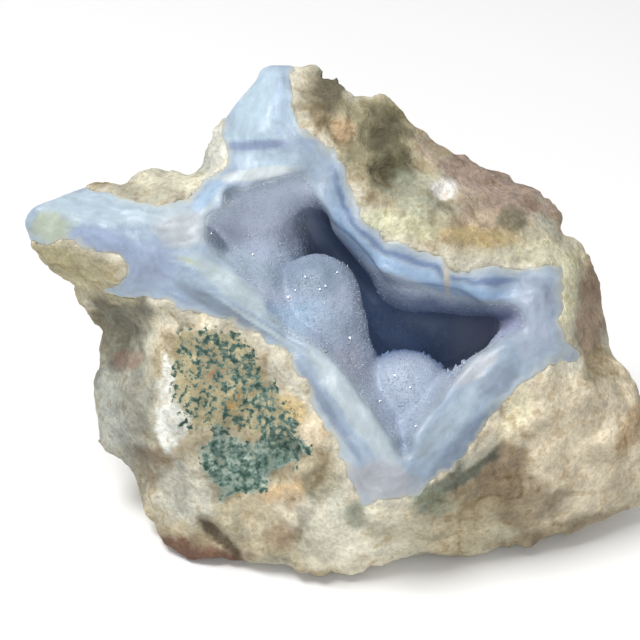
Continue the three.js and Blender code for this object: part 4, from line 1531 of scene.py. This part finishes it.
@dataclass(frozen=True)
class HexagonalPoints:
    """Quartz points of one kind, joined into one mesh: a hexagonal ring round each axis, and a tip on it."""

    name: str
    seen: Array
    axis: Array
    radius: Array
    height: float

    def build(self, colours: Array, finish: "QuartzPoint", rng: np.random.Generator) -> bpy.types.Object:
        """Builds the points, each turned about its axis by chance.

        Args:
            colours: linear colours, one a point.
            finish: the quartz's finish.
            rng: where the turns come from.

        Returns:
            The joined mesh.
        """
        count = len(self.seen)
        axis = self.axis / np.linalg.norm(self.axis, axis=1)[:, None]
        side = np.cross(axis, np.array([0.3, 0.5, 0.81]))
        side /= np.linalg.norm(side, axis=1)[:, None]
        up = np.cross(axis, side)
        turn = rng.uniform(0, math.tau, count)[:, None] + np.arange(6) * math.tau / 6
        radius = self.radius[:, None, None]
        round_axis = np.cos(turn)[..., None] * side[:, None] + np.sin(turn)[..., None] * up[:, None]
        ring = self.seen[:, None] - 0.3 * self.height * radius * axis[:, None] + radius * round_axis
        tip = self.seen + axis * (self.height * self.radius)[:, None]
        points = np.concatenate([ring, tip[:, None]], 1).reshape(-1, 3)
        first = (np.arange(count) * 7)[:, None, None]
        corner = np.arange(6)
        faces = (first + np.stack([corner, (corner + 1) % 6, np.full(6, 6)], -1)).reshape(-1, 3)
        made = mesh_object(self.name, FACE.world(points), faces, False)
        store_colour(made, np.repeat(colours, 7, 0))
        finish_piece(made, finish.material(), Slot.DRUSE)
        return made


class Studio:
    """The plain pale floor, the soft lights and the camera."""

    def floor(self) -> None:
        """A large white floor under the stone."""
        half = 3.0
        corners = np.array([(-half, -half, 0), (half, -half, 0), (half, half, 0), (-half, half, 0)], float)
        floor = mesh_object("floor", corners - [0, 0, 0.0001], np.array([[0, 1, 2, 3]]), False)
        material, tree = new_material("white_paper")
        shader = add_node(tree, "BsdfPrincipled", {"Base Color": rgba("#f4f4f4"), "Roughness": 0.9})
        add_node(tree, "OutputMaterial", {"Surface": shader.outputs[0]})
        floor.data.materials.append(material)

    def light(self, name: str, place: tuple[float, float, float], size: float, power: float) -> None:
        """Hangs a square soft light that looks at the stone.

        Args:
            name: the light's name.
            place: where it hangs, in metres.
            size: its side, in metres.
            power: its power, in watts.
        """
        stone = Vector((0, 0, 0.04))
        lamp = bpy.data.lights.new(name, "AREA")
        lamp.size = size
        lamp.energy = power
        thing = bpy.data.objects.new(name, lamp)
        thing.location = place
        thing.rotation_euler = (stone - Vector(place)).to_track_quat("-Z", "Y").to_euler()
        bpy.context.scene.collection.objects.link(thing)

    def camera(self) -> None:
        """The camera at the eye: square on to the face, 85 mm on a 36 mm sensor."""
        lens = bpy.data.cameras.new("eye")
        lens.lens = 85
        lens.sensor_width = 36
        eye = bpy.data.objects.new("eye", lens)
        eye.location = FACE.world(np.array([0.0, 0.0, FACE.eye]))
        eye.rotation_euler = (FACE.tilt, 0, 0)
        bpy.context.scene.collection.objects.link(eye)
        bpy.context.scene.camera = eye

    def build(self) -> None:
        """Sets the floor, the lights, the pale surroundings and the camera."""
        self.floor()
        self.light("key", KEY_LIGHT, 0.35, 6)
        self.light("front", (0.1, -0.9, 0.6), 0.6, 2.4)
        world = bpy.data.worlds.new("surroundings")
        world.use_nodes = True
        world.node_tree.nodes["Background"].inputs["Color"].default_value = rgba("#ffffff")
        world.node_tree.nodes["Background"].inputs["Strength"].default_value = 0.45
        bpy.context.scene.world = world
        bpy.context.scene.view_settings.view_transform = "Standard"
        self.camera()


def main() -> None:
    """Builds the studio, then the rock, the lining and the crust, and reports each."""
    logging.basicConfig(level=logging.INFO, format="%(message)s")
    Studio().build()
    shape = StoneShape()
    HostRock(shape).build()
    AgateLining(shape).build()
    DruseCrust(shape).build()


if __name__ == "__main__":
    main()
